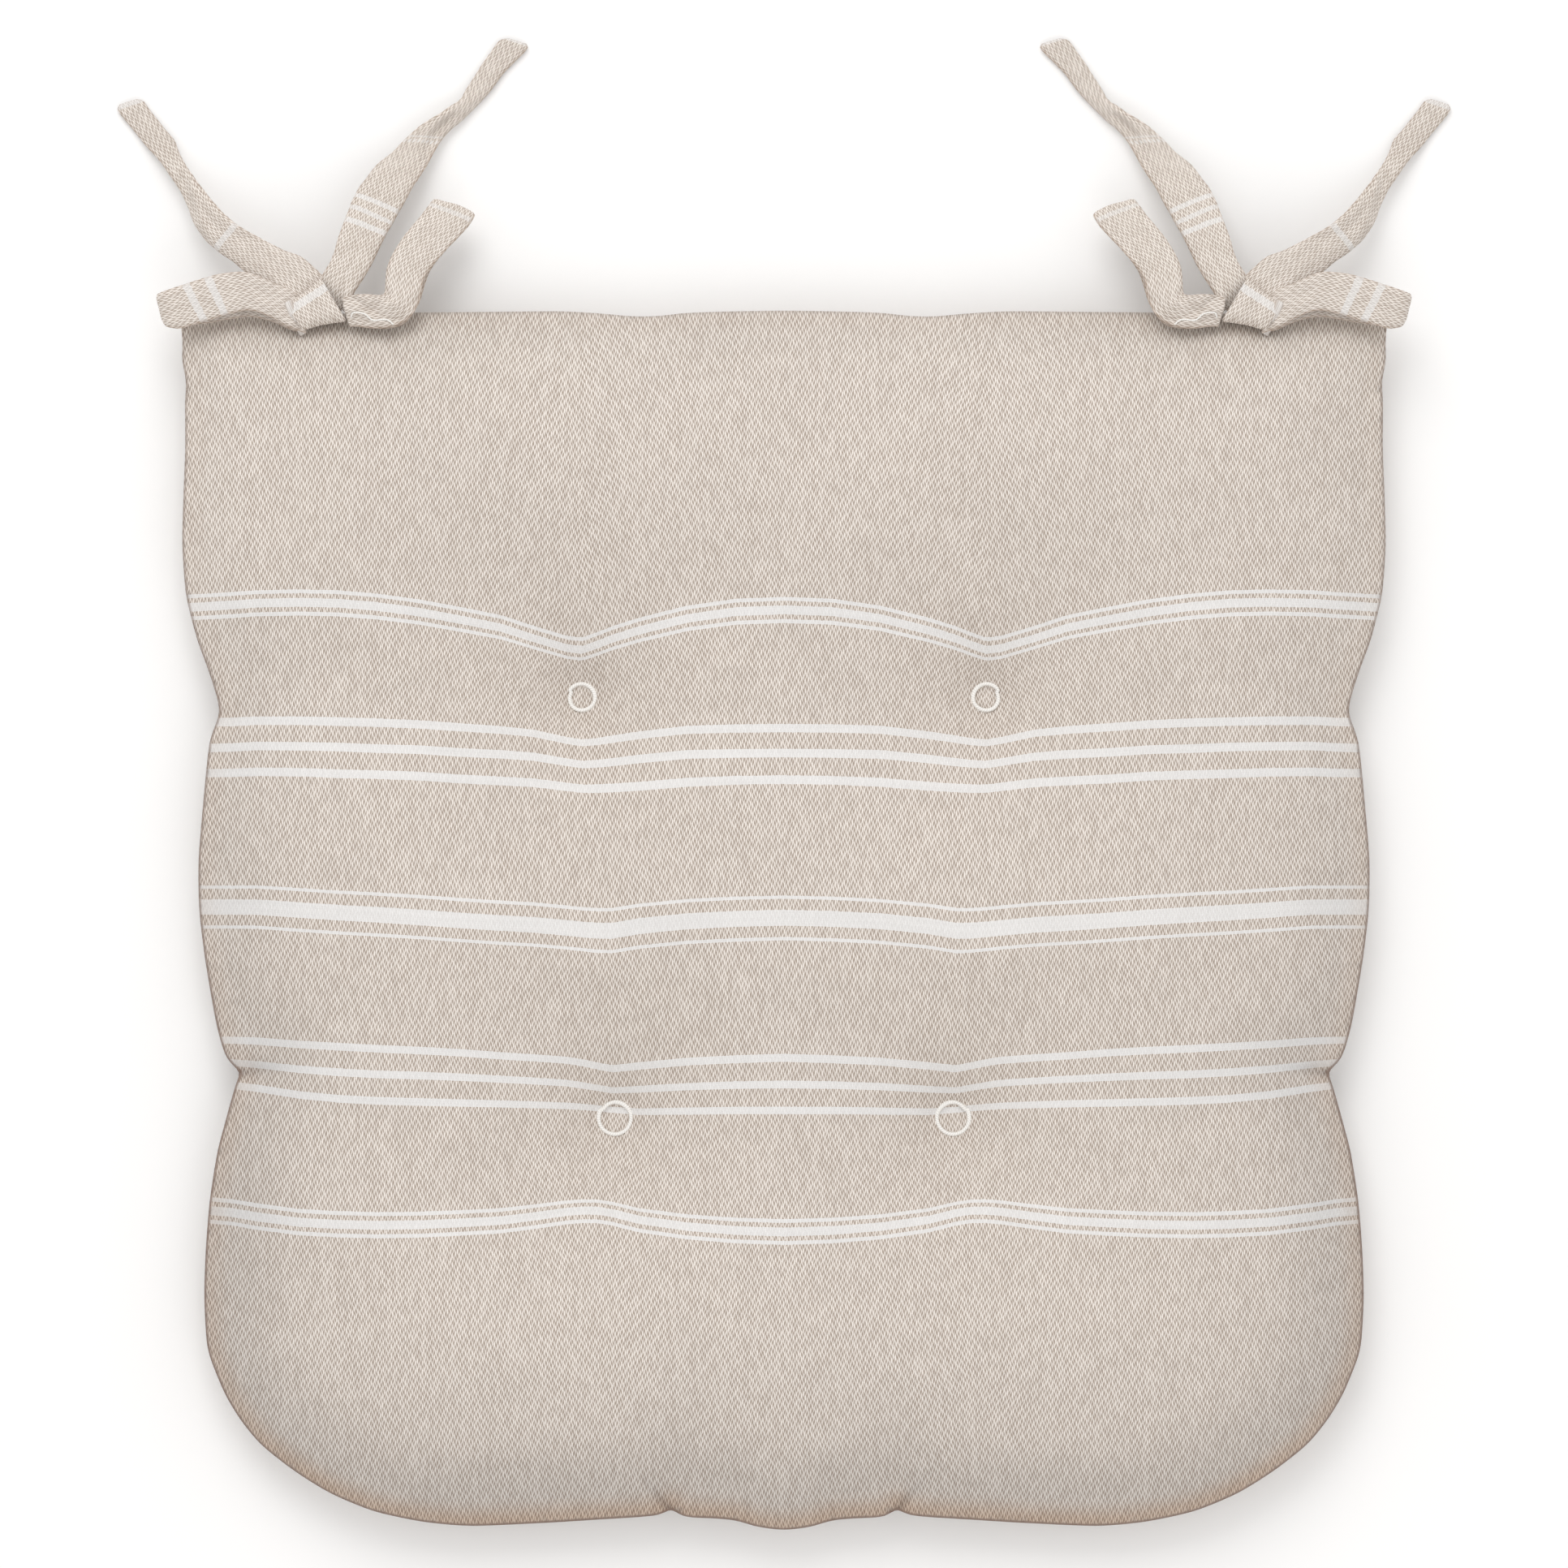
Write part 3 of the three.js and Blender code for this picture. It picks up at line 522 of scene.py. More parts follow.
def apply_modifiers(o):
    dg = bpy.context.evaluated_depsgraph_get()
    me = bpy.data.meshes.new_from_object(o.evaluated_get(dg), preserve_all_data_layers=True, depsgraph=dg)
    old = o.data
    o.modifiers.clear()
    o.data = me
    bpy.data.meshes.remove(old)


# ------------------------------------------------------------------ the pad's outline and flat panels
half = np.array(EDGE, float)
edge_loop = np.vstack([half, np.column_stack([-half[-2:0:-1, 0], half[-2:0:-1, 1]])])


def resample(loop, step, keep):
    """Closed outline as evenly spaced points, with the kept points exactly on it."""
    closed = np.vstack([loop, loop[:1]])
    seg = np.hypot(*np.diff(closed, axis=0).T)
    s = np.concatenate([[0], np.cumsum(seg)])
    marks = [0.0]
    for k in keep:
        i = int(np.argmin(np.hypot(*(loop - k).T)))
        marks.append(s[i])
    marks = sorted(set(round(m, 6) for m in marks)) + [s[-1]]
    out = []
    # a Catmull-Rom through the outline's points keeps it smooth between them
    n = len(loop)
    for a, b in zip(marks[:-1], marks[1:]):
        cells = max(1, round((b - a) / step))
        for q in range(cells):
            d = a + (b - a) * q / cells
            i = min(int(np.searchsorted(s, d, side="right")) - 1, n - 1)
            f = (d - s[i]) / max(seg[i], 1e-9)
            p0, p1, p2, p3 = loop[(i - 1) % n], loop[i], loop[(i + 1) % n], loop[(i + 2) % n]
            lin_p = p1 + (p2 - p1) * f
            cr = 0.5 * ((2 * p1) + (-p0 + p2) * f + (2 * p0 - 5 * p1 + 4 * p2 - p3) * f * f + (-p0 + 3 * p1 - 3 * p2 + p3) * f ** 3)
            out.append(0.35 * lin_p + 0.65 * cr)
    return np.array(out)


corners = [(199.9, 197.0), (-199.9, 197.0), (199.9, 195.8), (-199.9, 195.8)]
keep = [np.array((s * x, y)) for x, y in ((41.9, -197.3), (39.5, -196.4), (35.8, -196.3), (33.4, -197.7)) for s in (-1, 1)]
keep += [np.array(p) for p in corners] + [np.array((s * x, y)) for x, y in PINCHES for s in (-1, 1)]
STEP = 4.0
rim = resample(edge_loop, 3.4, keep)
NR = len(rim)


def inside_distance(px, py, loop):
    """Signed distance to the outline, positive inside."""
    a = loop
    b = np.roll(loop, -1, axis=0)
    d = np.full(px.shape, 1e9)
    inside = np.zeros(px.shape, bool)
    for (ax, ay), (bx, by) in zip(a, b):
        ex, ey = bx - ax, by - ay
        t = np.clip(((px - ax) * ex + (py - ay) * ey) / (ex * ex + ey * ey), 0, 1)
        d = np.minimum(d, np.hypot(px - ax - t * ex, py - ay - t * ey))
        cross = ((ay > py) != (by > py)) & (px < (bx - ax) * (py - ay) / (by - ay + 1e-12) + ax)
        inside ^= cross
    return np.where(inside, d, -d)


def lattice(step):
    rows = []
    ny = int(430 / (step * 0.866)) + 2
    for r in range(ny):
        y = -215 + r * step * 0.866
        off = 0 if r % 2 else step / 2
        xs = np.arange(0, 215, step) + off
        xs = np.concatenate([-xs[::-1], xs])
        xs = np.unique(np.round(xs, 6))
        rows.append(np.column_stack([xs, np.full(len(xs), y)]))
    return np.vstack(rows)


pts = lattice(STEP)
d = inside_distance(pts[:, 0], pts[:, 1], rim)
pts = pts[d > 2.4]
# clear a little space round each tuft and along each gather's fold, and put closer points there
keepmask = np.ones(len(pts), bool)
extra = []
for gx, gy, ux, uy, depth in FOLDS:
    for sg in (1, -1):
        along = (pts[:, 0] - sg * gx) * sg * ux + (pts[:, 1] - gy) * uy
        off = (pts[:, 1] - gy) * ux - (pts[:, 0] * sg - gx) * uy
        keepmask &= ~((np.abs(off) < 4.2) & (along > -3) & (along < 17.5))
        for al in np.arange(1.9, 17.0, 1.8):
            for o_ in (-3.0, -1.5, 0.0, 1.5, 3.0):
                q = (gx + ux * al - uy * o_, gy + uy * al + ux * o_)
                if inside_distance(np.array([q[0]]), np.array([q[1]]), rim)[0] > 1.5:
                    extra.append((sg * q[0], q[1]))
for x, y, r in TUFTS.values():
    keepmask &= np.hypot(pts[:, 0] - x, pts[:, 1] - y) > 11.0
    for rr, cnt in ((0, 1), (2.2, 6), (r + 0.2, 12), (r + 2.8, 18), (r + 5.4, 24)):
        for q in range(cnt):
            a = 2 * math.pi * (q + 0.5 * (rr > 3)) / cnt
            extra.append((x + rr * math.cos(a), y + rr * math.sin(a)))
flat = np.vstack([rim, pts[keepmask], np.array(extra)])
edges = [(i, (i + 1) % NR) for i in range(NR)]
cv, ce, cf, ov, oe, of_ = delaunay_2d_cdt([Vector(p) for p in flat], edges, [], 1, 1e-4, True)
flat = np.array([(p.x, p.y) for p in cv])
tris = [tuple(f) for f in cf]
src = [o[0] if o else -1 for o in ov]
is_rim = np.array([0 <= s < NR for s in src])


def orient(tri):
    a, b, c = (flat[k] for k in tri)
    area2 = (b[0] - a[0]) * (c[1] - a[1]) - (c[0] - a[0]) * (b[1] - a[1])
    return tri if area2 > 0 else (tri[0], tri[2], tri[1])


tris = [orient(t) for t in tris]
mids = np.array([(flat[t[0]] + flat[t[1]] + flat[t[2]]) / 3 for t in tris])
inside_tri = inside_distance(mids[:, 0], mids[:, 1], rim) > 0
tris = [t for t, k in zip(tris, inside_tri) if k]
NF = len(flat)
rim_d = inside_distance(flat[:, 0], flat[:, 1], rim)
rim_d[is_rim] = 0
rim_d = np.maximum(rim_d, 0)
tuft_d = np.min([np.hypot(flat[:, 0] - x, flat[:, 1] - y) for x, y, _ in TUFTS.values()], axis=0)
tuft_r = np.array([TUFTS[k][2] for k in TUFTS])[np.argmin([np.hypot(flat[:, 0] - x, flat[:, 1] - y) for x, y, _ in TUFTS.values()], axis=0)]
stitched = tuft_d < tuft_r + 0.4


def dome():
    """The pad's filled shape without its folds: both panels, mm."""
    x, y = flat[:, 0], flat[:, 1]
    c = 1 - np.exp(-rim_d / 19.0)
    dc = np.hypot(np.abs(x) - 200, y - 198)
    c = c * (1 - 0.22 * np.exp(-(dc / 55) ** 2))
    for px, py in PINCHES:
        c = c * (1 - 0.45 * np.exp(-(np.hypot(np.abs(x) - px, y - py) / 18) ** 1.5))
    top = SEAM_Z + 26.5 * c
    bot = SEAM_Z * (1 - c * 1.06)
    g = np.exp(-(np.maximum(0, tuft_d - tuft_r) / 26) ** 1.05)
    top = top + (TUFT_TOP - top) * g
    g = np.exp(-(np.maximum(0, tuft_d - tuft_r) / 12) ** 1.2)
    bot = np.maximum(bot, 0) + (TUFT_BOTTOM - np.maximum(bot, 0)) * g
    top[is_rim] = bot[is_rim] = SEAM_Z
    return (np.column_stack([flat, top]), np.column_stack([flat, bot]))


def simulate(shape):
    """Blow the two sewn panels up: the rim and the tufts are held, the cloth between them billows and puckers."""
    inner = np.where(~is_rim)[0]
    idx_bottom = np.full(NF, -1)
    idx_bottom[inner] = NF + np.arange(len(inner))
    idx_bottom[is_rim] = np.where(is_rim)[0]
    top0, bot0 = shape[0].copy(), shape[1].copy()
    top0[:, 2] = SEAM_Z + (top0[:, 2] - SEAM_Z) * START
    top0[stitched, 2] = TUFT_TOP
    bot0[stitched, 2] = TUFT_BOTTOM
    verts = np.vstack([top0, bot0[inner]]) * MM
    faces = [t for t in tris] + [tuple(int(idx_bottom[k]) for k in (t[0], t[2], t[1])) for t in tris]
    o = new_object("sim_pad", verts, faces, None, smooth=False)
    pin = o.vertex_groups.new(name="pin")
    held = [int(i) for i in np.where(is_rim | stitched)[0]] + [int(idx_bottom[i]) for i in np.where(stitched & ~is_rim)[0]]
    pin.add(held, 1.0, "REPLACE")
    mod = o.modifiers.new("Cloth", "CLOTH")
    st = mod.settings
    st.quality = 6
    st.mass = 0.3
    st.tension_stiffness = st.compression_stiffness = 15
    st.shear_stiffness = 5
    st.bending_stiffness = 0.5
    st.tension_damping = st.compression_damping = 12
    st.shear_damping = 12
    st.bending_damping = 1.0
    st.air_damping = 6.0
    st.use_pressure = True
    st.uniform_pressure_force = PRESSURE
    st.shrink_min = -SLACK
    st.vertex_group_mass = "pin"
    st.pin_stiffness = 1.0
    st.effector_weights.gravity = 0.0
    mod.collision_settings.use_collision = False
    mod.collision_settings.use_self_collision = False
    mod.point_cache.frame_start = 1
    mod.point_cache.frame_end = 30
    sc = bpy.context.scene
    for f in range(1, 25):
        sc.frame_set(f)
    ev = o.evaluated_get(bpy.context.evaluated_depsgraph_get())
    co = np.empty(len(ev.data.vertices) * 3)
    ev.data.vertices.foreach_get("co", co)
    co = co.reshape(-1, 3) / MM
    start = verts / MM
    sc.frame_set(1)
    me = o.data
    bpy.data.objects.remove(o)
    bpy.data.meshes.remove(me)
    # no point moves further than the cap
    move = co - start
    far = np.linalg.norm(move, axis=1)
    move *= (np.minimum(far, MOVE_CAP) / np.maximum(far, 1e-9))[:, None]
    co = start + move
    return co[:NF].copy(), np.array([co[int(idx_bottom[i])] for i in range(NF)])


nbr_a = np.array([(t[i], t[(i + 1) % 3]) for t in tris for i in range(3)])
nbr = np.unique(np.sort(np.vstack([nbr_a, nbr_a[:, ::-1]]), axis=1), axis=0)


def relax(p, rounds, factor, fixed):
    p = p.copy()
    deg = np.bincount(nbr.ravel(), minlength=len(p)).astype(float)[:, None]
    for _ in range(rounds):
        acc = np.zeros_like(p)
        np.add.at(acc, nbr[:, 0], p[nbr[:, 1]])
        np.add.at(acc, nbr[:, 1], p[nbr[:, 0]])
        step = (acc / deg - p) * factor
        step[fixed] = 0
        p += step
    return p


START, PRESSURE, SLACK, MOVE_CAP = 0.85, 9.0, 0.012, 14.0
shape = dome()
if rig.quick():
    top3, bot3 = shape
else:
    top3, bot3 = simulate(shape)
    top3 = relax(top3, 3, 0.5, is_rim | stitched)
    bot3 = relax(bot3, 4, 0.5, is_rim | stitched)
print("top z", top3[:, 2].min(), top3[:, 2].max(), "bottom z", bot3[:, 2].min(), bot3[:, 2].max(),
      "plan", top3[:, 0].min(), top3[:, 0].max(), top3[:, 1].min(), top3[:, 1].max())

# a short fold runs in from each gather
for gx, gy, ux, uy, depth in FOLDS:
    for sg in (1, -1):
        along = (flat[:, 0] - sg * gx) * sg * ux + (flat[:, 1] - gy) * uy
        off = (flat[:, 1] - gy) * ux - (flat[:, 0] * sg - gx) * uy
        dip = depth * np.exp(-(off / 1.9) ** 2) * np.exp(-np.maximum(along, 0) / 8.0) * (along > -4)
        bulge = 0.45 * depth * np.exp(-((np.abs(off) - 5.5) / 3.0) ** 2) * np.exp(-np.maximum(along, 0) / 12.0) * (along > -4)
        top3[:, 2] += np.where(is_rim, 0, (bulge - dip) * np.clip(rim_d / 2.5, 0, 1))
        bot3[:, 2] -= np.where(is_rim, 0, 0.5 * (bulge - dip) * np.clip(rim_d / 2.5, 0, 1))

# the cloth stays clear of the seam allowance and the tacks inside the gathers
near_rim = np.clip(rim_d / 2.2, 0, 1) * (tuft_d > 20)
top3[:, 2] = np.maximum(top3[:, 2], np.where(near_rim > 0, SEAM_Z + 1.7 * near_rim, top3[:, 2]))
bot3[:, 2] = np.minimum(bot3[:, 2], np.where(near_rim > 0, SEAM_Z - 1.5 * near_rim, bot3[:, 2]))

# the underside rests on a flat seat
soft_floor = 1.2
zb = bot3[:, 2]
bot3[:, 2] = np.where(zb > soft_floor, zb, soft_floor * np.exp((np.maximum(zb, -60) - soft_floor) / 6.0) * 0.98 + 0.0)
bot3[:, 2] = np.where(zb > soft_floor, zb, np.maximum(bot3[:, 2] - 0.02, 0.02))


# ------------------------------------------------------------------ where the weave and stripes lie
def line_y(name, ax):
    return np.interp(ax, LINE_X, LINE_Y[name])


def cloth_coordinates(x, y):
    """Flat-cloth coordinates (mm) at a place on the top panel, so each stripe runs where it does."""
    ax = np.abs(x)
    names = ["E", "D3", "D2", "D1", "C", "B3", "B2", "B1", "A"]
    ys = np.array([line_y(k, ax) for k in names])                  # rising in y
    vs = np.array([LINE_V[k] for k in names])
    v = np.array([np.interp(y[i], ys[:, i], vs) for i in range(len(y))])
    hi, lo = y > ys[-1], y < ys[0]
    v[hi] = LINE_V["A"] + (y[hi] - ys[-1][hi]) * GROW
    v[lo] = LINE_V["E"] + (y[lo] - ys[0][lo]) * GROW
    return np.column_stack([x * GROW, v])


def set_uv(me, name, per_vertex):
    layer = me.uv_layers.get(name) or me.uv_layers.new(name=name)
    loops = np.empty(len(me.loops), dtype=np.int32)
    me.loops.foreach_get("vertex_index", loops)
    layer.data.foreach_set("uv", np.asarray(per_vertex, dtype=np.float32)[loops].reshape(-1))


def get_co(me):
    co = np.empty(len(me.vertices) * 3)
    me.vertices.foreach_get("co", co)
    return co.reshape(-1, 3)


def seam_shadow_strength(x, y):
    """How dark the seam's painted shadow line is here: strong at the sides and front, faint at the back."""
    return np.interp(y, (-202, -120, -40, 40, 120, 180, 192, 198), (1.0, 0.95, 0.85, 0.7, 0.55, 0.5, 0.35, 0.1))


def fade(d, near, far):
    t = np.clip((d - near) / (far - near), 0, 1)
    return 1 - t * t * (3 - 2 * t)


def rim_shade(d, x, y):
    """Painted shade: the cloth painted darker and warmer towards the pad's front and sides, and darker in the gathers'
    folds.
    """
    # painted shade: darkening strongest at the front, weakest at the back
    painted_dark = np.interp(y, (-202, -170, -150, -90, -20, 40, 100, 185, 197), (0.19, 0.19, 0.21, 0.19, 0.12, 0.10, 0.03, 0.02, 0.07)) * (0.75 * fade(d, 8, 36) + 0.25 * fade(d, 20, 75))
    # painted shade: a warm, darker tint close to the rim, strongest at the front
    warm_shade = np.interp(y, (-202, -185, -160, -110, 0, 100), (1.0, 1.0, 0.75, 0.42, 0.24, 0.11)) * fade(d, 0.5, 10)
    for gx, gy, ux, uy, depth in FOLDS:
        along = (np.abs(x) - gx) * ux + (y - gy) * uy
        off = (y - gy) * ux - (np.abs(x) - gx) * uy
        # painted shade in each gather's fold
        painted_dark = painted_dark + 0.12 * depth * np.exp(-(off / 1.5) ** 2) * np.exp(-np.maximum(along, 0) / 6.0) * (along > -3)
    return np.column_stack([painted_dark, warm_shade])


def panel(name, pts3, faces, flip_v):
    """One fabric panel: subdivided, rounded at its seam, with thickness and its own cloth coordinates."""
    o = new_object(name, pts3 * MM, faces, MAT_TOP if not flip_v else MAT_UNDER)
    m = o.modifiers.new("sub", "SUBSURF")
    m.levels = m.render_levels = 1
    m.boundary_smooth = "PRESERVE_CORNERS"
    apply_modifiers(o)
    co = get_co(o.data) / MM
    d = np.maximum(inside_distance(co[:, 0], co[:, 1], rim), 0)
    # the panel turns over the seam allowance inside, so it leaves the seam steeply
    swell = 1.7 * (1 - np.exp(-d / 1.0)) * np.exp(-d / 7.0)
    co[:, 2] += swell if not flip_v else -swell * 0.6
    if flip_v:
        co[:, 2] = np.maximum(co[:, 2], 0.02)
    o.data.vertices.foreach_set("co", (co * MM).reshape(-1))
    if flip_v:
        uv = np.column_stack([co[:, 0] * GROW, -co[:, 1] * GROW + 11.0])
    else:
        # the raised cloth is seen from above a little larger than its plan
        k = 1 / (1 - (co[:, 2] - SEAM_Z) * MM / DIST)
        uv = cloth_coordinates(co[:, 0] * k, SIGHT_Y + (co[:, 1] - SIGHT_Y) * k)
    set_uv(o.data, "cloth", uv)
    # painted shadow: the seam's fine brown line, strongest at the front and sides
    set_uv(o.data, "edge", np.column_stack([d, seam_shadow_strength(co[:, 0], co[:, 1])]))
    # painted shade: darker and warmer towards the front and sides, and in the gathers' folds
    set_uv(o.data, "shade", rim_shade(d, co[:, 0], co[:, 1]))
    s = o.modifiers.new("thick", "SOLIDIFY")
    s.thickness = 0.7 * MM
    s.offset = -1.0
    apply_modifiers(o)
    return o


MAT_TOP = fabric("woven cotton top", STRIPES, edge="pad")
MAT_UNDER = fabric("woven cotton underside", STRIPES, edge="pad")
top_cover = panel("top_panel", top3, tris, False)
bottom_cover = panel("bottom_panel", bot3, [(a, c, b) for a, b, c in tris], True)
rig.ride(top_cover, "pad"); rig.replaces(top_cover, "top_cover"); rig.slot(top_cover, "top_fabric"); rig.padded(top_cover, fill=0.65)
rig.ride(bottom_cover, "pad"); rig.replaces(bottom_cover, "bottom_cover"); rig.slot(bottom_cover, "bottom_fabric"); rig.padded(bottom_cover, fill=0.65)

# the fibre filling: a closed form just inside both panels
inner_idx = np.where(~is_rim)[0]
f_top, f_bot = top3.copy(), bot3.copy()
f_top[:, 2] -= 1.9
f_bot[:, 2] += 1.5
fz = 0.5 * (f_top[:, 2] + f_bot[:, 2])
thin = f_top[:, 2] - f_bot[:, 2] < 1.0
f_top[thin, 2] = fz[thin] + 0.5
f_bot[thin, 2] = fz[thin] - 0.5
near = rim_d < 3.0
centre_pull = 1 - np.clip(3.4 - rim_d, 0, 3.4) / 200.0
for arr in (f_top, f_bot):
    arr[:, :2] *= centre_pull[:, None]
f_top[is_rim, 2] = f_bot[is_rim, 2] = SEAM_Z
bmap = np.full(NF, -1)
bmap[inner_idx] = NF + np.arange(len(inner_idx))
bmap[is_rim] = np.where(is_rim)[0]
fib = new_object("fibre_wadding", np.vstack([f_top, f_bot[inner_idx]]) * MM,
                 list(tris) + [tuple(int(bmap[k]) for k in (t[0], t[2], t[1])) for t in tris], MAT_FIBRE)
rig.ride(fib, "pad"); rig.replaces(fib, "fibre_filling"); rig.slot(fib, "fibre"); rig.padded(fib, fill=0.65)


# ------------------------------------------------------------------ threads
def tube(name, path, radius, mat, sides=8, closed=False, squash_z=1.0, v0=0.0):
    """A thread along a path of points (mm)."""
    P = np.asarray(path, float)
    n = len(P)
    if closed:
        T = np.roll(P, -1, axis=0) - np.roll(P, 1, axis=0)
    else:
        T = np.gradient(P, axis=0)
    T /= np.maximum(np.linalg.norm(T, axis=1), 1e-9)[:, None]
    ref = np.array([0.0, 0.0, 1.0]) if abs(T[0][2]) < 0.9 else np.array([1.0, 0.0, 0.0])
    N = np.cross(T[0], ref); N /= np.linalg.norm(N)
    verts, uvs = [], []
    arc = 0.0
    frames = []
    for i in range(n):
        N = N - T[i] * np.dot(N, T[i])
        N /= max(np.linalg.norm(N), 1e-9)
        frames.append((N.copy(), np.cross(T[i], N)))
    if closed:
        # close the twist left over
        a, b = frames[-1], frames[0]
        ang = math.atan2(np.dot(b[0], a[1]), np.dot(b[0], a[0]))
    else:
        ang = 0.0
    for i in range(n):
        if i:
            arc += np.linalg.norm(P[i] - P[i - 1])
        t = ang * i / n
        N0 = frames[i][0] * math.cos(t) + frames[i][1] * math.sin(t)
        B0 = np.cross(T[i], N0)
        for k in range(sides):
            a = 2 * math.pi * k / sides
            verts.append(P[i] + radius * (math.cos(a) * N0 + math.sin(a) * B0) * np.array([1, 1, squash_z]))
            uvs.append((k / sides, v0 + arc))
    faces, fuv = [], []
    m = n if closed else n - 1
    for i in range(m):
        j = (i + 1) % n
        for k in range(sides):
            l = (k + 1) % sides
            faces.append((i * sides + k, i * sides + l, j * sides + l, j * sides + k))
            va, vb = uvs[i * sides][1], uvs[j * sides][1] if j else uvs[i * sides][1] + 0.5
            fuv += [(k / sides, va), ((k + 1) / sides, va), ((k + 1) / sides, vb), (k / sides, vb)]
    if not closed:
        for base, order in ((0, -1), ((n - 1) * sides, 1)):
            c = len(verts)
            verts.append(P[0] if base == 0 else P[-1])
            for k in range(sides):
                l = (k + 1) % sides
                faces.append((c, base + l, base + k) if order < 0 else (c, base + k, base + l))
                fuv += [(0.5, uvs[base][1])] * 3
    return new_object(name, np.array(verts) * MM, faces, mat, fuv)


def joined(name, objs):
    """Several thread pieces as one mesh."""
    bm = bmesh.new()
    for o in objs:
        bm.from_mesh(o.data)
    me = bpy.data.meshes.new(name)
    bm.to_mesh(me)
    bm.free()
    me.materials.append(objs[0].data.materials[0])
    me.polygons.foreach_set("use_smooth", [True] * len(me.polygons))
    for o in objs:
        old = o.data
        bpy.data.objects.remove(o)
        bpy.data.meshes.remove(old)
    o = bpy.data.objects.new(name, me)
    bpy.context.scene.collection.objects.link(o)
    return o


def ring_path(cx, cy, r, z, seed, up):
    """Two passes of thread round the ring, a little apart, as sewn by hand."""
    rr = random.Random(seed)
    n = 104
    ph = [rr.uniform(0, 6.28) for _ in range(4)]
    out = []
    for i in range(n):
        a = 4 * math.pi * i / n + 0.6
        second = i >= n // 2
        off = 0.5 if second else -0.42
        wob = 0.16 * math.sin(3 * a / 2 + ph[0]) + 0.12 * math.sin(2.5 * a + ph[1])
        rad = r + off * math.cos(a / 2 + ph[2]) + wob * 0.5
        zz = z + up * (0.2 + 0.14 * math.sin(1.5 * a + ph[3]) + (0.25 if second else 0.0))
        out.append((cx + rad * math.cos(a), cy + rad * math.sin(a), zz))
    return out


for key, (cx, cy, r) in TUFTS.items():
    seed = {"back_left": 3, "back_right": 3, "front_left": 8, "front_right": 8}[key]
    mirror = 1 if cx < 0 else -1
    path = ring_path(abs(cx), cy, r, TUFT_TOP + 0.4, seed, 1)
    path = [(-mirror * x, y, z) for x, y, z in path]
    top_ring = tube("tuft_" + key + "_ring", path, 0.66, MAT_THREAD, sides=8, closed=True)
    under = ring_path(abs(cx), cy, r, TUFT_BOTTOM - 0.55, seed + 20, -1)
    under = [(-mirror * x, y, z) for x, y, z in under]
    bottom_ring = tube("tuft_" + key + "_under_ring", under, 0.5, MAT_THREAD, sides=8, closed=True)
    passes = []
    for q in range(8):
        a = 2 * math.pi * (q + 0.25) / 8
        px, py = cx + r * math.cos(a), cy + r * math.sin(a)
        lean = 0.5 * math.sin(5 * q)
        passes.append(tube("pass", [(px, py, TUFT_BOTTOM - 0.5), (px + lean * 0.4, py - lean * 0.3, 8.0),
                                    (px - lean * 0.3, py + lean * 0.4, 12.0), (px, py, TUFT_TOP + 0.2)], 0.3, MAT_THREAD, sides=6))
    through = joined("tuft_" + key + "_passes", passes)
    for o, node in ((top_ring, "top_ring"), (bottom_ring, "bottom_ring"), (through, "through_stitches")):
        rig.ride(o, "pad"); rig.replaces(o, "tuft_" + key + "_" + node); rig.slot(o, "thread")

# the lockstitch inside the perimeter seam, and the small tacks at the gathers
stitch = []
P = rim[::2]
cen = np.array([0.0, 0.0])
for i, p in enumerate(P):
    a, b = P[i - 1], P[(i + 1) % len(P)]
    t = (b - a) / max(np.linalg.norm(b - a), 1e-9)
    n_in = np.array([-t[1], t[0]])
    if inside_distance(np.array([p[0] + n_in[0] * 3]), np.array([p[1] + n_in[1] * 3]), rim)[0] < 0:
        n_in = -n_in
    q = p + n_in * 3.0
    stitch.append((q[0], q[1], SEAM_Z + (0.22 if i % 2 else -0.22)))
seam_thread = tube("perimeter_lockstitch", stitch, 0.28, MAT_THREAD, sides=6, closed=True)
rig.ride(seam_thread, "pad"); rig.replaces(seam_thread, "perimeter_seam_thread"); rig.slot(seam_thread, "thread")

for node, (x, y), (dx, dy) in (("side_tack_right", (180.2, -50.4), (-1, 0.05)), ("side_tack_left", (-180.2, -50.4), (1, 0.05)),
                               ("front_tack_right", (37.6, -195.4), (-0.15, 1)), ("front_tack_left", (-37.6, -195.4), (0.15, 1))):
    L = math.hypot(dx, dy)
    dx, dy = dx / L, dy / L
    loops = []
    for q in range(3):
        cx, cy = x + dx * (2.0 + 0.55 * q), y + dy * (2.0 + 0.55 * q)
        ring = [(cx + 0.25 * math.cos(6.283 * k / 14) * dx, cy + 0.25 * math.cos(6.283 * k / 14) * dy,
                 SEAM_Z + 0.75 * math.sin(6.283 * k / 14)) for k in range(14)]
        loops.append(tube("wrap", ring, 0.24, MAT_THREAD, sides=6, closed=True))
    tack = joined(node + "_stitches", loops)
    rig.ride(tack, "pad"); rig.replaces(tack, node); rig.slot(tack, "thread")


# ------------------------------------------------------------------ straps
from mathutils import noise as mnoise


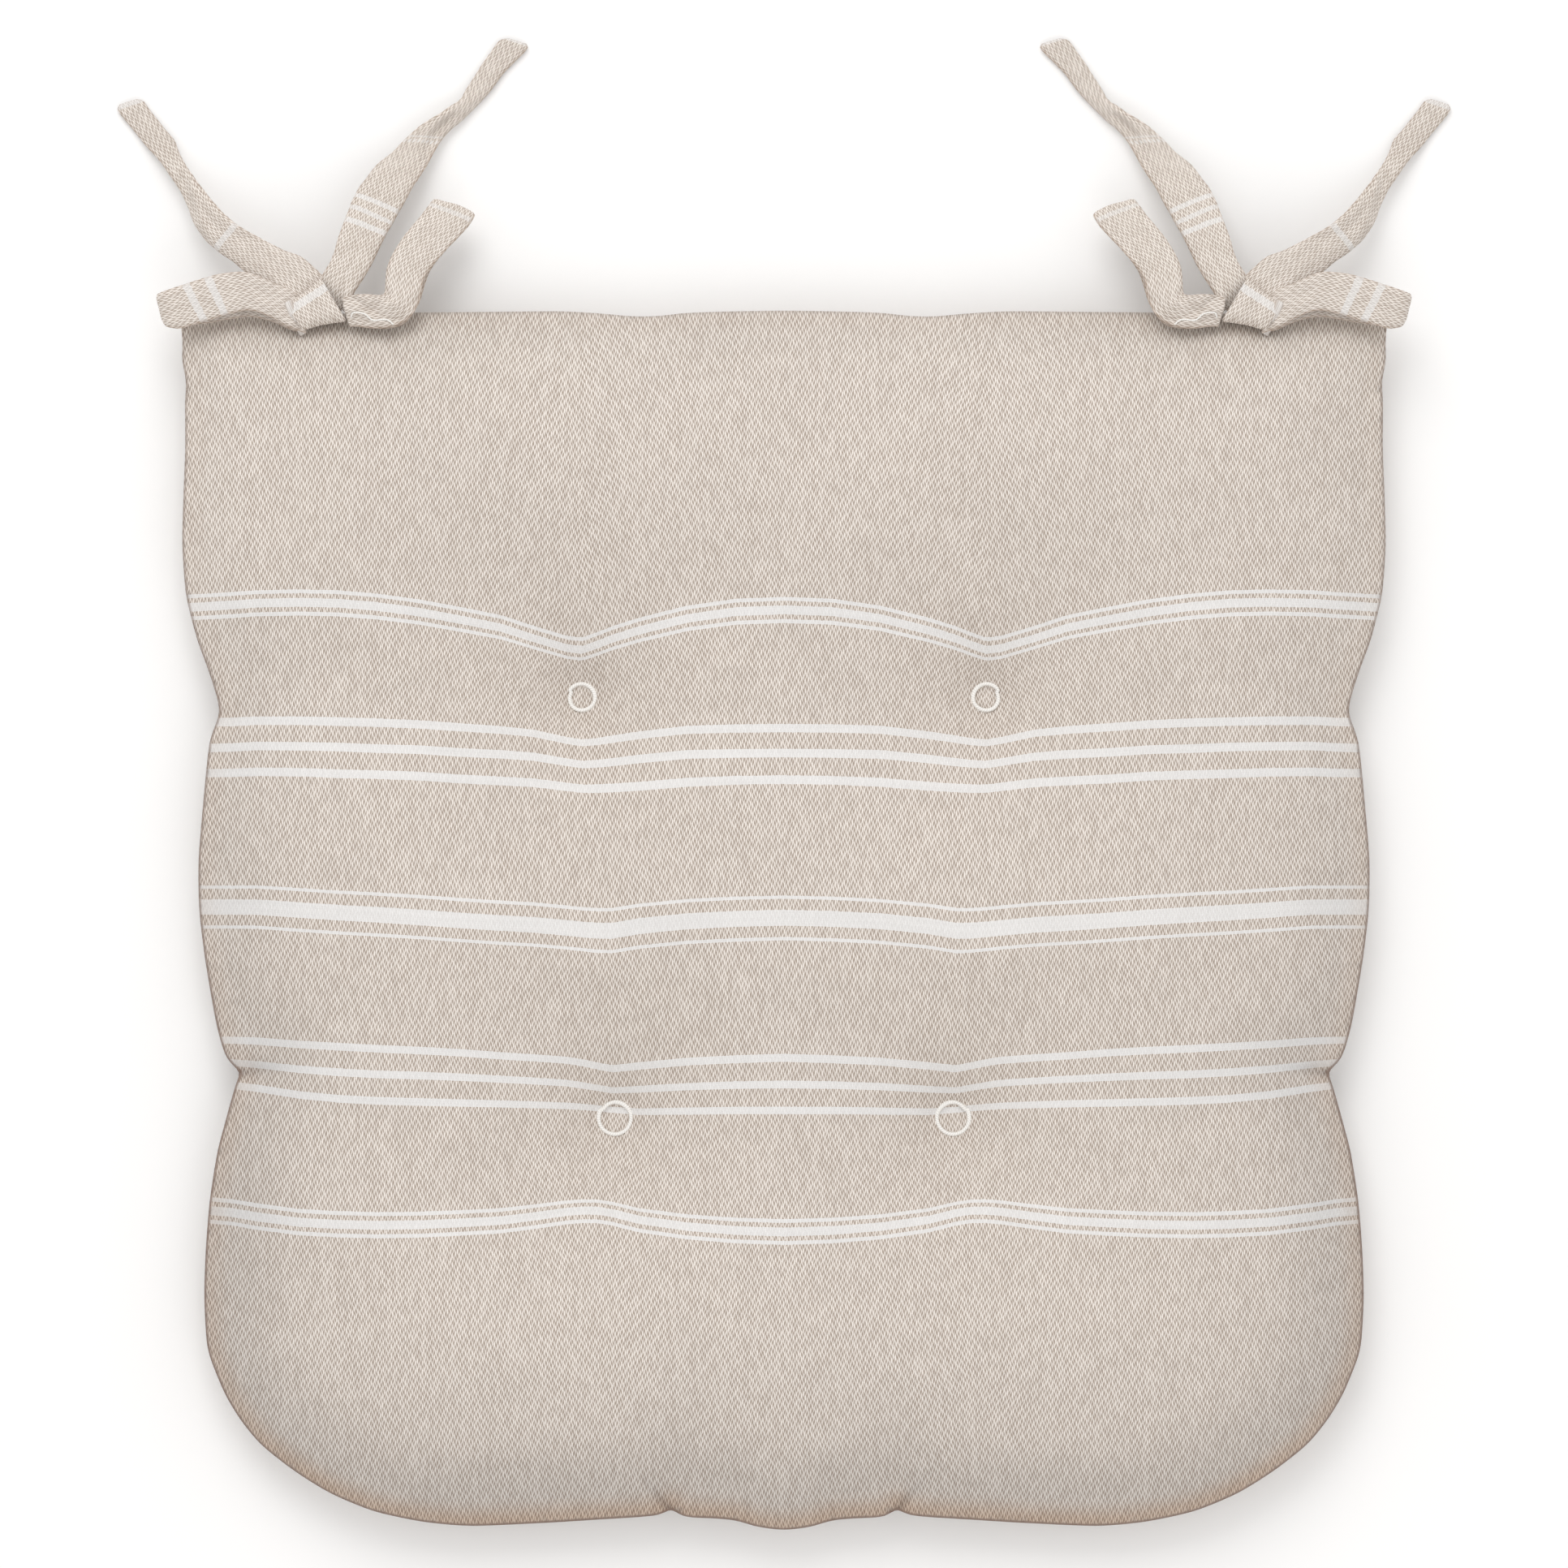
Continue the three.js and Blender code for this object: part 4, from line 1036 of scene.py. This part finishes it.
def spline(rows, count):
    """Rows resampled evenly along their middle line with a smooth curve."""
    R = np.asarray(rows, float)
    mid = 0.5 * (R[:, :3] + R[:, 3:6])
    s = np.concatenate([[0], np.cumsum(np.linalg.norm(np.diff(mid, axis=0), axis=1))])
    m = np.gradient(R, s, axis=0, edge_order=1)
    t = np.linspace(0, s[-1], count)
    i = np.clip(np.searchsorted(s, t, side="right") - 1, 0, len(s) - 2)
    h = (s[i + 1] - s[i])[:, None]
    f = ((t - s[i])[:, None]) / h
    p0, p1, m0, m1 = R[i], R[i + 1], m[i] * h, m[i + 1] * h
    f2, f3 = f * f, f * f * f
    return (2 * f3 - 3 * f2 + 1) * p0 + (f3 - 2 * f2 + f) * m0 + (-2 * f3 + 3 * f2) * p1 + (f3 - f2) * m1, t, s


def ribbon(name, rows, v0, side, thick=1.7, across=12, step=1.25, camber=0.0, wrinkle=0.22, seed=0.0, creases=(), taper=(0.0, 0.0), u0=0.0, mat=None, round_end=0.0,
           edge_shade=(0.15, 0.4), shear=0.0):
    """A strap: a flat sewn tube between two edge lines. rows are (ax, ay, az, bx, by, bz) in mm for the left-hand tie;
    side is -1 for the left tie, 1 for its mirror image. creases are (s0, t0, s1, t1, depth, width): folds drawn on the strap
    from across/along fractions (s0, t0) to (s1, t1)."""
    mid = 0.5 * (np.asarray(rows)[:, :3] + np.asarray(rows)[:, 3:6])
    length = np.linalg.norm(np.diff(mid, axis=0), axis=1).sum()
    count = max(8, int(length / step))
    R, arc, _ = spline(rows, count)
    A, B = R[:, :3], R[:, 3:6]
    C, W = 0.5 * (A + B), (B - A)
    T = np.gradient(C, axis=0)
    T /= np.linalg.norm(T, axis=1)[:, None]
    hw = 0.5 * np.linalg.norm(W, axis=1)
    Wn = W / (2 * hw)[:, None]
    hw = hw + 0.3
    if round_end:
        left = np.clip(round_end - (arc[-1] - arc), 0, round_end)
        hw = hw - (round_end - np.sqrt(round_end ** 2 - left ** 2))
    N = np.cross(T, Wn)
    N /= np.linalg.norm(N, axis=1)[:, None]
    if N[min(2, count - 1)][2] < 0:
        N = -N
    q = np.sin(np.linspace(-math.pi / 2, math.pi / 2, across + 1))
    prof = (1 - np.abs(q) ** 4.5) ** (1 / 2.4)
    seamy = 1 + 0.22 * np.exp(-((np.abs(q) - 0.78) / 0.13) ** 2)          # the allowance folded in along both edges
    verts, uv, edge_shade_uv = [], [], []
    total = arc[-1]
    for i in range(count):
        al = arc[i] / total
        end = 1.0
        for dist, tp in ((arc[i], taper[0]), (total - arc[i], taper[1])):
            if tp:
                end *= min(1.0, 0.35 + 0.65 * dist / tp)
        ring = []
        for k in range(across + 1):
            s = q[k]
            nz = mnoise.noise(Vector((s * 0.9 + seed, arc[i] / 9.0, seed * 1.7)))
            nz2 = mnoise.noise(Vector((s * 2.2 - seed, arc[i] / 3.6, seed * 0.3 + 5)))
            off = wrinkle * (nz * 1.6 + nz2 * 0.6) * (1 - 0.3 * abs(s)) + camber * (1 - s * s)
            for s0, t0, s1, t1, depth, width in creases:
                px, py = s * hw[i], arc[i]
                ax_, ay_ = s0 * hw[i], t0 * total
                bx_, by_ = s1 * hw[i], t1 * total
                ex, ey = bx_ - ax_, by_ - ay_
                L2 = ex * ex + ey * ey + 1e-9
                tt = max(0.0, min(1.0, ((px - ax_) * ex + (py - ay_) * ey) / L2))
                dd = math.hypot(px - ax_ - tt * ex, py - ay_ - tt * ey)
                off += depth * math.exp(-(dd / width) ** 2)
            edge = 0.18 * mnoise.noise(Vector((seed + 11 * (1 if s > 0 else -1), arc[i] / 5.0, 2.0))) * abs(s) ** 3
            c = C[i] + Wn[i] * (s * (hw[i] + edge)) + N[i] * off
            h = 0.5 * thick * prof[k] * seamy[k] * end
            ring.append((c, h, N[i], s * hw[i]))
        for k in range(across + 1):                                    # top, edge to edge
            c, h, nn, u = ring[k]
            verts.append(c + nn * h)
        for k in range(across - 1, 0, -1):                             # back along the underside
            c, h, nn, u = ring[k]
            verts.append(c - nn * h)
        uv.append(([r[3] for r in ring] + [2 * hw[i] - ring[k][3] for k in range(across - 1, 0, -1)], hw[i]))
        order = list(range(across + 1)) + list(range(across - 1, 0, -1))
        # painted shade: a brown line along each edge, of a strength given for each edge
        edge_shade_uv.append([(hw[i] - abs(ring[k][3]), edge_shade[0] if ring[k][3] < 0 else edge_shade[1]) for k in order])
    m = 2 * across
    faces, fuv, fed = [], [], []
    for i in range(count - 1):
        for k in range(m):
            l = (k + 1) % m
            faces.append((i * m + k, i * m + l, (i + 1) * m + l, (i + 1) * m + k))
            ua, ub = uv[i][0], uv[i + 1][0]
            la = ua[l] if l else 3 * uv[i][1]
            lb = ub[l] if l else 3 * uv[i + 1][1]
            sa, sb = uv[i][1], uv[i + 1][1]
            fuv += [(u0 + w_, v0 + arc[j] + shear * (w_ if w_ <= h_ else 2 * h_ - w_))
                    for w_, j, h_ in ((ua[k], i, sa), (la, i, sa), (lb, i + 1, sb), (ub[k], i + 1, sb))]
            fed += [edge_shade_uv[i][k], edge_shade_uv[i][l], edge_shade_uv[i + 1][l], edge_shade_uv[i + 1][k]]
    for base, flip in ((0, True), ((count - 1) * m, False)):
        us = uv[0][0] if base == 0 else uv[-1][0]
        vv = v0 + (0 if base == 0 else arc[-1])
        for k in range(across):
            t0, t1 = base + k, base + k + 1
            b1 = base + (m - k - 1) if k + 1 < across else base + k + 1
            b0 = base + (m - k) % m
            quad = [t0, t1, b1, b0]
            quad_u = [us[k], us[k + 1], us[min(k + 1, across)], us[k]]
            clean, cu = [], []
            for a_, u_ in zip(quad, quad_u):
                if a_ not in clean:
                    clean.append(a_)
                    cu.append(u_)
            if len(clean) < 3:
                continue
            if not flip:
                clean, cu = clean[::-1], cu[::-1]
            faces.append(tuple(clean))
            fuv += [(u0 + u_, vv) for u_ in cu]
            fed += [(0.5, 0.2)] * len(cu)
    V = np.array(verts)
    if side > 0:
        V[:, 0] *= -1
        nf, nu, ne, c = [], [], [], 0
        for f in faces:
            nf.append(tuple(reversed(f)))
            nu += list(reversed(fuv[c:c + len(f)]))
            ne += list(reversed(fed[c:c + len(f)]))
            c += len(f)
        faces, fuv, fed = nf, nu, ne
    o = new_object(name, V * MM, faces, mat or MAT_STRAP, fuv)
    o.data.uv_layers.new(name="edge").data.foreach_set("uv", np.asarray(fed, dtype=np.float32).reshape(-1))
    bm = bmesh.new()
    bm.from_mesh(o.data)
    bmesh.ops.recalc_face_normals(bm, faces=bm.faces)
    bm.to_mesh(o.data)
    bm.free()
    sub = o.modifiers.new("sub", "SUBSURF")
    sub.levels = sub.render_levels = 1
    apply_modifiers(o)
    return o


def plan(x, y, z):
    """A point that should appear over (x, y) at the seam's height, placed at its own height."""
    k = 1 - (z - SEAM_Z) * MM / DIST
    return (x * k, SIGHT_Y + (y - SIGHT_Y) * k, z)


def zz(zx, zy, z):
    """A place on the left tie, from a drawing of it at 11.2 units to the millimetre."""
    return plan((zx / 3.0154 + 140 - 965.5) * 0.2692, (1134 - zy / 3.0154 - 30) * 0.2692, z)


def rows_of(table):
    return [zz(a, b, za) + zz(c, d, zb) for a, b, za, c, d, zb in table]


OUTER_TAIL = rows_of([
    (815, 975, 24.0, 655, 1060, 24.0), (760, 922, 26.0, 596, 990, 25.0), (700, 868, 25.0, 538, 962, 23.5), (625, 838, 22.6, 488, 918, 21.5),
    (545, 798, 20.6, 445, 882, 18.5), (465, 752, 18.4, 393, 846, 15.0), (405, 703, 16.0, 336, 794, 11.5), (368, 662, 13.6, 300, 737, 8.8),
    (335, 620, 10.4, 281, 685, 6.8), (300, 575, 7.2, 257, 632, 6.0), (262, 520, 4.6, 212, 565, 5.8), (238, 472, 3.0, 180, 518, 4.6),
    (222, 430, 2.4, 131, 462, 2.6), (190, 394, 1.9, 96, 420, 1.9), (152, 346, 1.5, 58, 373, 1.5), (119, 303, 1.4, 25, 333, 1.4),
    (100, 272, 1.4, 6, 302, 1.4)])
INNER_TAIL = rows_of([
    (735, 985, 24.0, 870, 1075, 24.0), (785, 917, 26.0, 886, 1007, 26.0), (812, 868, 24.6, 930, 937, 24.0), (832, 803, 22.6, 970, 862, 21.5),
    (855, 738, 20.0, 1003, 794, 18.5), (878, 676, 17.2, 1034, 740, 16.0), (901, 628, 14.8, 1062, 690, 13.5), (940, 570, 12.0, 1104, 612, 11.0),
    (985, 515, 9.4, 1147, 546, 8.6), (1035, 477, 7.4, 1180, 487, 6.4), (1082, 428, 6.4, 1212, 435, 4.2), (1130, 385, 6.6, 1247, 394, 2.6),
    (1190, 345, 6.8, 1292, 353, 1.8), (1244, 309, 5.4, 1336, 314, 1.6), (1288, 279, 3.8, 1374, 275, 1.5), (1313, 238, 2.4, 1409, 232, 1.5),
    (1350, 180, 1.7, 1443, 185, 1.5), (1390, 120, 1.4, 1487, 139, 1.4), (1428, 68, 1.4, 1528, 98, 1.4), (1450, 47, 1.4, 1547, 76, 1.4)])
OUTER_LOOP = rows_of([
    (665, 985, 26.2, 715, 1148, 25.6), (602, 966, 27.6, 640, 1120, 26.8), (546, 940, 28.4, 580, 1086, 27.4), (490, 923, 28.9, 515, 1062, 28.0),
    (410, 926, 29.0, 445, 1070, 27.8), (330, 946, 28.8, 372, 1091, 27.6), (256, 970, 28.2, 301, 1112, 27.2), (196, 991, 27.2, 238, 1128, 26.6),
    (169, 1000, 26.2, 206, 1124, 25.8), (163, 1003, 24.7, 197, 1122, 24.4), (170, 1002, 23.2, 206, 1122, 23.0), (196, 995, 22.4, 236, 1121, 22.2),
    (260, 984, 22.1, 302, 1114, 21.9), (335, 968, 22.2, 374, 1104, 22.0), (410, 956, 22.4, 448, 1090, 22.2), (490, 954, 22.8, 522, 1086, 22.4),
    (560, 965, 23.2, 600, 1108, 22.8), (625, 990, 23.6, 672, 1138, 23.2), (670, 1000, 24.0, 712, 1140, 23.8)])


def px(x, y, z):
    return plan((x - 965.5) * 0.2692, (1134 - y) * 0.2692, z)


INNER_LOOP = [px(a, b, za) + px(c, d, zb) for a, b, za, c, d, zb in [
    (420, 368, 27.0, 430, 402, 26.2), (436, 364, 28.0, 444, 402, 27.0), (450, 363, 28.8, 464, 404, 27.2), (464, 364, 28.2, 488, 400, 27.8),
    (473, 362, 27.8, 508, 386, 28.0), (475, 350, 27.6, 516, 368, 27.6), (476, 334, 26.8, 520, 347, 26.4), (484, 313, 24.6, 529, 331, 24.2),
    (499, 290, 21.8, 545, 312, 21.2), (514, 272, 19.2, 562, 294, 18.4), (525, 258, 17.4, 576, 279, 16.6), (531, 249, 16.4, 582, 269, 15.6),
    (534, 246, 15.2, 584, 265, 14.6), (534, 246, 13.6, 582, 265, 13.2), (531, 249, 12.0, 579, 268, 11.6),
    (524, 259, 11.6, 572, 279, 11.0), (512, 275, 12.8, 557, 296, 12.0), (498, 293, 15.2, 542, 315, 14.2), (485, 315, 18.4, 528, 335, 17.4),
    (480, 337, 21.0, 522, 352, 20.6), (476, 356, 22.2, 515, 374, 22.0), (468, 370, 22.8, 498, 398, 22.6), (450, 372, 23.2, 468, 405, 22.8),
    (432, 374, 23.6, 442, 402, 23.4), (422, 376, 24.0, 430, 400, 24.0)]]


def length_of(rows):
    mid = 0.5 * (np.asarray(rows)[:, :3] + np.asarray(rows)[:, 3:6])
    return float(np.linalg.norm(np.diff(mid, axis=0), axis=1).sum())


# where the stripes sit along the strap cloth (mm): centre, half width, whiteness, and for a dotted one its spacing
OUTER_TAIL_V, INNER_TAIL_V, OUTER_LOOP_V, INNER_LOOP_V = 1000.0 - 37.3, 1100.0 - 29.1, 2200.0 - 28.8, 1600.0 - 56.0
STRAP_STRIPES = [(1000.0, 1.1, 0.66), (1100.0, 1.0, 0.74), (1104.8, 0.85, 0.68), (1109.5, 0.9, 0.72),
                 (1137.0, 0.8, 0.75, 1.5), (1139.3, 0.45, 0.5), (2200.0, 1.25, 0.72), (2207.4, 1.25, 0.72),
                 (1300.0, 1.6, 0.55), (1400.0, 1.3, 0.7), (1600.0, 0.7, 0.5),
                 (OUTER_TAIL_V + length_of(OUTER_TAIL) - 0.4, 1.5, 0.6), (INNER_TAIL_V + length_of(INNER_TAIL) - 0.2, 0.8, 0.6)]
MAT_STRAP = fabric("woven cotton strap", STRAP_STRIPES, scale=0.84, pale=0.5, ragged=0.9)


def knot(name, side):
    """The band wrapped once round the bow's middle: a flattened sleeve, wider at one end, with soft folds."""
    axis, b = np.array([0.84, 0.543]), np.array([-0.543, 0.84])
    c0 = np.array([-155.5, 204.5])
    na, nr = 16, 40
    verts, us, vs = [], [], []
    stations = list(np.linspace(-1, 1, na))
    rings = []
    for i, s in enumerate(stations):
        a = -1.0 + 7.6 * s
        f = (s + 1) / 2
        hb = 5.4 + 3.6 * f
        bc = 0.1 - 2.3 * f
        hz = 4.5 + 0.9 * f
        pinch = 1 - 0.10 * (1 - s * s)                       # pulled tight across its middle
        ends = 1 - 0.16 * max(0.0, (abs(s) - 0.82) / 0.18) ** 2
        ring = []
        for k in range(nr):
            t = 2 * math.pi * k / nr
            ct, stt = math.cos(t), math.sin(t)
            e = 0.72
            cx = math.copysign(abs(ct) ** e, ct)
            sz = math.copysign(abs(stt) ** 0.86, stt)
            fold = 0.30 * mnoise.noise(Vector((a * 0.20, 2.2 * ct, 1.3 * stt + 4.0))) + 0.18 * math.sin(a * 1.1 + 2.0 * ct)
            B_ = bc + hb * ends * pinch * cx * (1 + 0.03 * math.sin(3 * t))
            Z_ = 24.9 + (hz * ends * sz) + fold * (0.8 if stt > 0 else 0.3)
            skew = 0.35 * (B_ - bc) / hb * (1 if s > 0 else -0.3)
            p = c0 + axis * (a + skew) + b * B_
            ring.append((p[0], p[1], Z_))
        rings.append(ring)
    # tuck each end inwards so the bundle seems to run into the band
    for end, sgn in ((0, -1), (na - 1, 1)):
        src_ring = np.array(rings[end])
        mid_p = src_ring.mean(axis=0)
        d_in = np.array([axis[0], axis[1], 0]) * -sgn
        for scale, depth in ((0.93, 0.1), (0.82, 1.0), (0.66, 2.4), (0.4, 3.2)):
            rr = mid_p + (src_ring - mid_p) * scale + d_in * depth
            if end == 0:
                rings.insert(0, [tuple(p) for p in rr])
            else:
                rings.append([tuple(p) for p in rr])
    R = np.array(rings)
    nrg = len(rings)
    verts = R.reshape(-1, 3)
    faces, fuv = [], []

    def uvof(i, k):
        p = R[i][k % nr]
        rel = p[:2] - c0
        ua, vb = float(rel @ axis), float(rel @ b)
        over = p[2] >= 24.9
        vv = 1400.0 + (vb - 2.7) if over else 1425.0 - (vb - 2.7)
        return ua, vv

    for i in range(nrg - 1):
        for k in range(nr):
            l = (k + 1) % nr
            faces.append((i * nr + k, i * nr + l, (i + 1) * nr + l, (i + 1) * nr + k))
            quad = [uvof(i, k), uvof(i, l), uvof(i + 1, l), uvof(i + 1, k)]
            if max(q[1] for q in quad) - min(q[1] for q in quad) > 12:
                lo_v = min(q[1] for q in quad)
                quad = [(q[0], lo_v + 0.3 * j) for j, q in enumerate(quad)]
            fuv += quad
    for base, rev in ((0, True), ((nrg - 1) * nr, False)):
        f = [base + k for k in range(nr)]
        faces.append(tuple(f[::-1] if rev else f))
        fuv += [(0.2 * j, 1450.0) for j in range(nr)]
    V = np.array([plan(*p) for p in verts])
    if side > 0:
        V[:, 0] *= -1
    o = new_object(name, V * MM, faces, MAT_STRAP, fuv)
    o.data.uv_layers.new(name="edge").data.foreach_set("uv", np.tile((5.0, 0.0), len(o.data.loops)).astype(np.float32))
    bm = bmesh.new()
    bm.from_mesh(o.data)
    bmesh.ops.recalc_face_normals(bm, faces=bm.faces)
    bm.to_mesh(o.data)
    bm.free()
    sub = o.modifiers.new("sub", "SUBSURF")
    sub.levels = sub.render_levels = 1
    apply_modifiers(o)
    return o


def away(side, x, y, z):
    return (side * x * MM, y * MM, z * MM)


for side, s in ((-1, "left"), (1, "right")):
    tie = s + "_tie"
    # tails
    o = ribbon(s + "_outer_tail_strap", OUTER_TAIL, OUTER_TAIL_V, side, thick=1.8, step=1.0, camber=0.5, wrinkle=0.35, seed=1.3, taper=(0, 1.2), round_end=1.8, edge_shade=(0.15, 0.2),
               creases=((0.7, 0.38, -0.4, 0.62, 0.9, 1.6), (-0.8, 0.30, 0.1, 0.5, -0.6, 1.5), (0.0, 0.12, -0.5, 0.34, -0.5, 1.8)))
    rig.blend(o, tie, s + "_outer_tail_body", away(side, 160.6, 213.2, 24.5), away(side, 166.2, 216.6, 24.0))
    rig.replaces(o, s + "_outer_tail"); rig.slot(o, "strap_fabric")
    o = ribbon(s + "_inner_tail_strap", INNER_TAIL, INNER_TAIL_V, side, thick=1.8, step=1.0, camber=0.5, wrinkle=0.35, seed=4.1, taper=(0, 1.2), round_end=1.8,
               creases=((0.95, 0.50, -0.2, 0.70, -1.3, 1.3), (0.4, 0.52, -0.7, 0.72, 0.9, 1.6), (-0.3, 0.14, 0.4, 0.30, -0.5, 1.8)))
    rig.blend(o, tie, s + "_inner_tail_body", away(side, 146.0, 212.2, 24.5), away(side, 143.2, 218.6, 24.0))
    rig.replaces(o, s + "_inner_tail"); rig.slot(o, "strap_fabric")
    # loops
    o = ribbon(s + "_outer_loop_strap", OUTER_LOOP, OUTER_LOOP_V, side, shear=0.17, thick=1.7, camber=0.7, wrinkle=0.35, seed=7.7,
               creases=((-0.9, 0.06, 0.2, 0.16, -0.8, 1.4), (0.9, 0.05, -0.1, 0.22, 0.7, 1.6)))
    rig.blend(o, tie, s + "_outer_loop_body", away(side, 166.4, 204.1, 26), away(side, 172.0, 204.8, 26))
    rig.replaces(o, s + "_bow_outer_loop"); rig.slot(o, "strap_fabric")
    o = ribbon(s + "_inner_loop_strap", INNER_LOOP, INNER_LOOP_V, side, thick=1.6, camber=0.4, wrinkle=0.5, seed=9.2,
               creases=((-0.9, 0.02, 0.9, 0.13, -1.5, 1.1), (-0.3, 0.0, 0.6, 0.10, 1.1, 1.0), (-0.8, 0.1, 0.7, 0.20, 1.0, 1.2), (0.2, 0.03, -0.9, 0.17, -1.0, 1.0)))
    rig.blend(o, tie, s + "_inner_loop_body", away(side, 145.2, 200.2, 26), away(side, 141.2, 203.4, 26))
    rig.replaces(o, s + "_bow_inner_loop"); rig.slot(o, "strap_fabric")
    # knot with its folded end
    k = knot(s + "_knot_band", side)
    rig.ride(k, tie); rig.replaces(k, s + "_bow_knot"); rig.slot(k, "strap_fabric")
    hem = rows_of([(634, 1034, 28.2, 658, 1021, 28.9), (646, 1064, 28.0, 669, 1052, 28.7), (664, 1100, 26.9, 686, 1088, 27.5),
                   (684, 1138, 25.2, 705, 1126, 25.9), (693, 1156, 23.7, 714, 1144, 24.3)])
    o = ribbon(s + "_knot_folded_hem", hem, 1300.0 - 5.0, side, thick=1.2, across=6, step=0.9, wrinkle=0.1, seed=2.2, camber=0.2)
    set_h = o.data.uv_layers["cloth"]
    n_l = len(o.data.loops)
    arr = np.empty(n_l * 2, dtype=np.float32)
    set_h.data.foreach_get("uv", arr)
    arr = arr.reshape(-1, 2)
    arr[:, 1] = 1300.0 + (arr[:, 1] - 1300.0) * 0.15          # all within the pale hem
    set_h.data.foreach_set("uv", arr.reshape(-1))
    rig.ride(o, tie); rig.slot(o, "strap_fabric")
    # the strap's root, from the seam up into the knot, and its end caught in the seam
    root = [(-160.6, 201.6, 16.2, -147.0, 201.9, 16.2), (-160.4, 203.4, 16.4, -147.2, 203.6, 16.4), (-160.2, 205.6, 17.4, -147.8, 205.8, 17.4),
            (-160.0, 206.8, 19.2, -148.4, 206.8, 19.2), (-159.8, 206.6, 21.0, -149.0, 206.4, 21.0)]
    o = ribbon(s + "_strap_neck", root, 1700.0, side, thick=1.6, step=1.0, wrinkle=0.25, seed=5.5)
    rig.blend(o, "pad", tie, away(side, 153.8, 201.2, 16), away(side, 153.8, 203.2, 16))
    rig.replaces(o, s + "_strap_root"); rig.slot(o, "strap_fabric")
    o = ribbon(s + "_strap_caught_end", [(-160.0, 190.6, 16.0, -146.0, 190.4, 16.0), (-160.2, 194.0, 16.1, -146.0, 194.0, 16.1),
                                         (-160.4, 199.6, 16.1, -146.4, 199.8, 16.1), (-160.5, 201.2, 16.1, -146.8, 201.4, 16.1)],
               1720.0, side, thick=1.3, step=1.2, wrinkle=0.1, seed=6.5)
    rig.ride(o, "pad"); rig.replaces(o, s + "_strap_sewn_end"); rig.slot(o, "strap_fabric")
    # the loose sewing thread over the inner loop's root
    pts = [(432, 391, 28.6), (434, 386, 29.2), (440, 385, 29.6), (449, 387, 29.6), (456, 393, 29.3), (461, 395, 29.0), (468, 394, 28.9),
           (475, 394, 28.9), (480, 396, 28.9), (484, 400, 28.6)]
    P3 = np.array([px(*q) for q in pts])
    tt = np.linspace(0, len(P3) - 1, 46)
    i0 = np.clip(tt.astype(int), 0, len(P3) - 2)
    fr = (tt - i0)[:, None]
    m_ = np.gradient(P3, axis=0)
    cur = ((2 * fr ** 3 - 3 * fr ** 2 + 1) * P3[i0] + (fr ** 3 - 2 * fr ** 2 + fr) * m_[i0]
           + (-2 * fr ** 3 + 3 * fr ** 2) * P3[i0 + 1] + (fr ** 3 - fr ** 2) * m_[i0 + 1])
    if side > 0:
        cur[:, 0] *= -1
    o = tube(s + "_loose_thread", cur, 0.3, MAT_THREAD, sides=6)
    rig.ride(o, tie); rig.slot(o, "thread")

# ------------------------------------------------------------------ floor
fl = new_object("floor", [(-3, -3, 0), (3, -3, 0), (3, 3, 0), (-3, 3, 0)], [(0, 1, 2, 3)], None, smooth=False)
fm = bpy.data.materials.new("pale floor")
fn = Nodes(fm)
fn.bsdf.inputs["Base Color"].default_value = (0.93, 0.93, 0.93, 1)
fn.bsdf.inputs["Roughness"].default_value = 0.95
fn.bsdf.inputs["Specular IOR Level"].default_value = 0.1
fl.data.materials.append(fm)
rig.stage(fl)

vis = plain(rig.bounds())
try:
    with open("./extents.json", "w") as f:
        json.dump({"cad": cad_bounds, "visual": vis}, f)
except OSError:
    pass
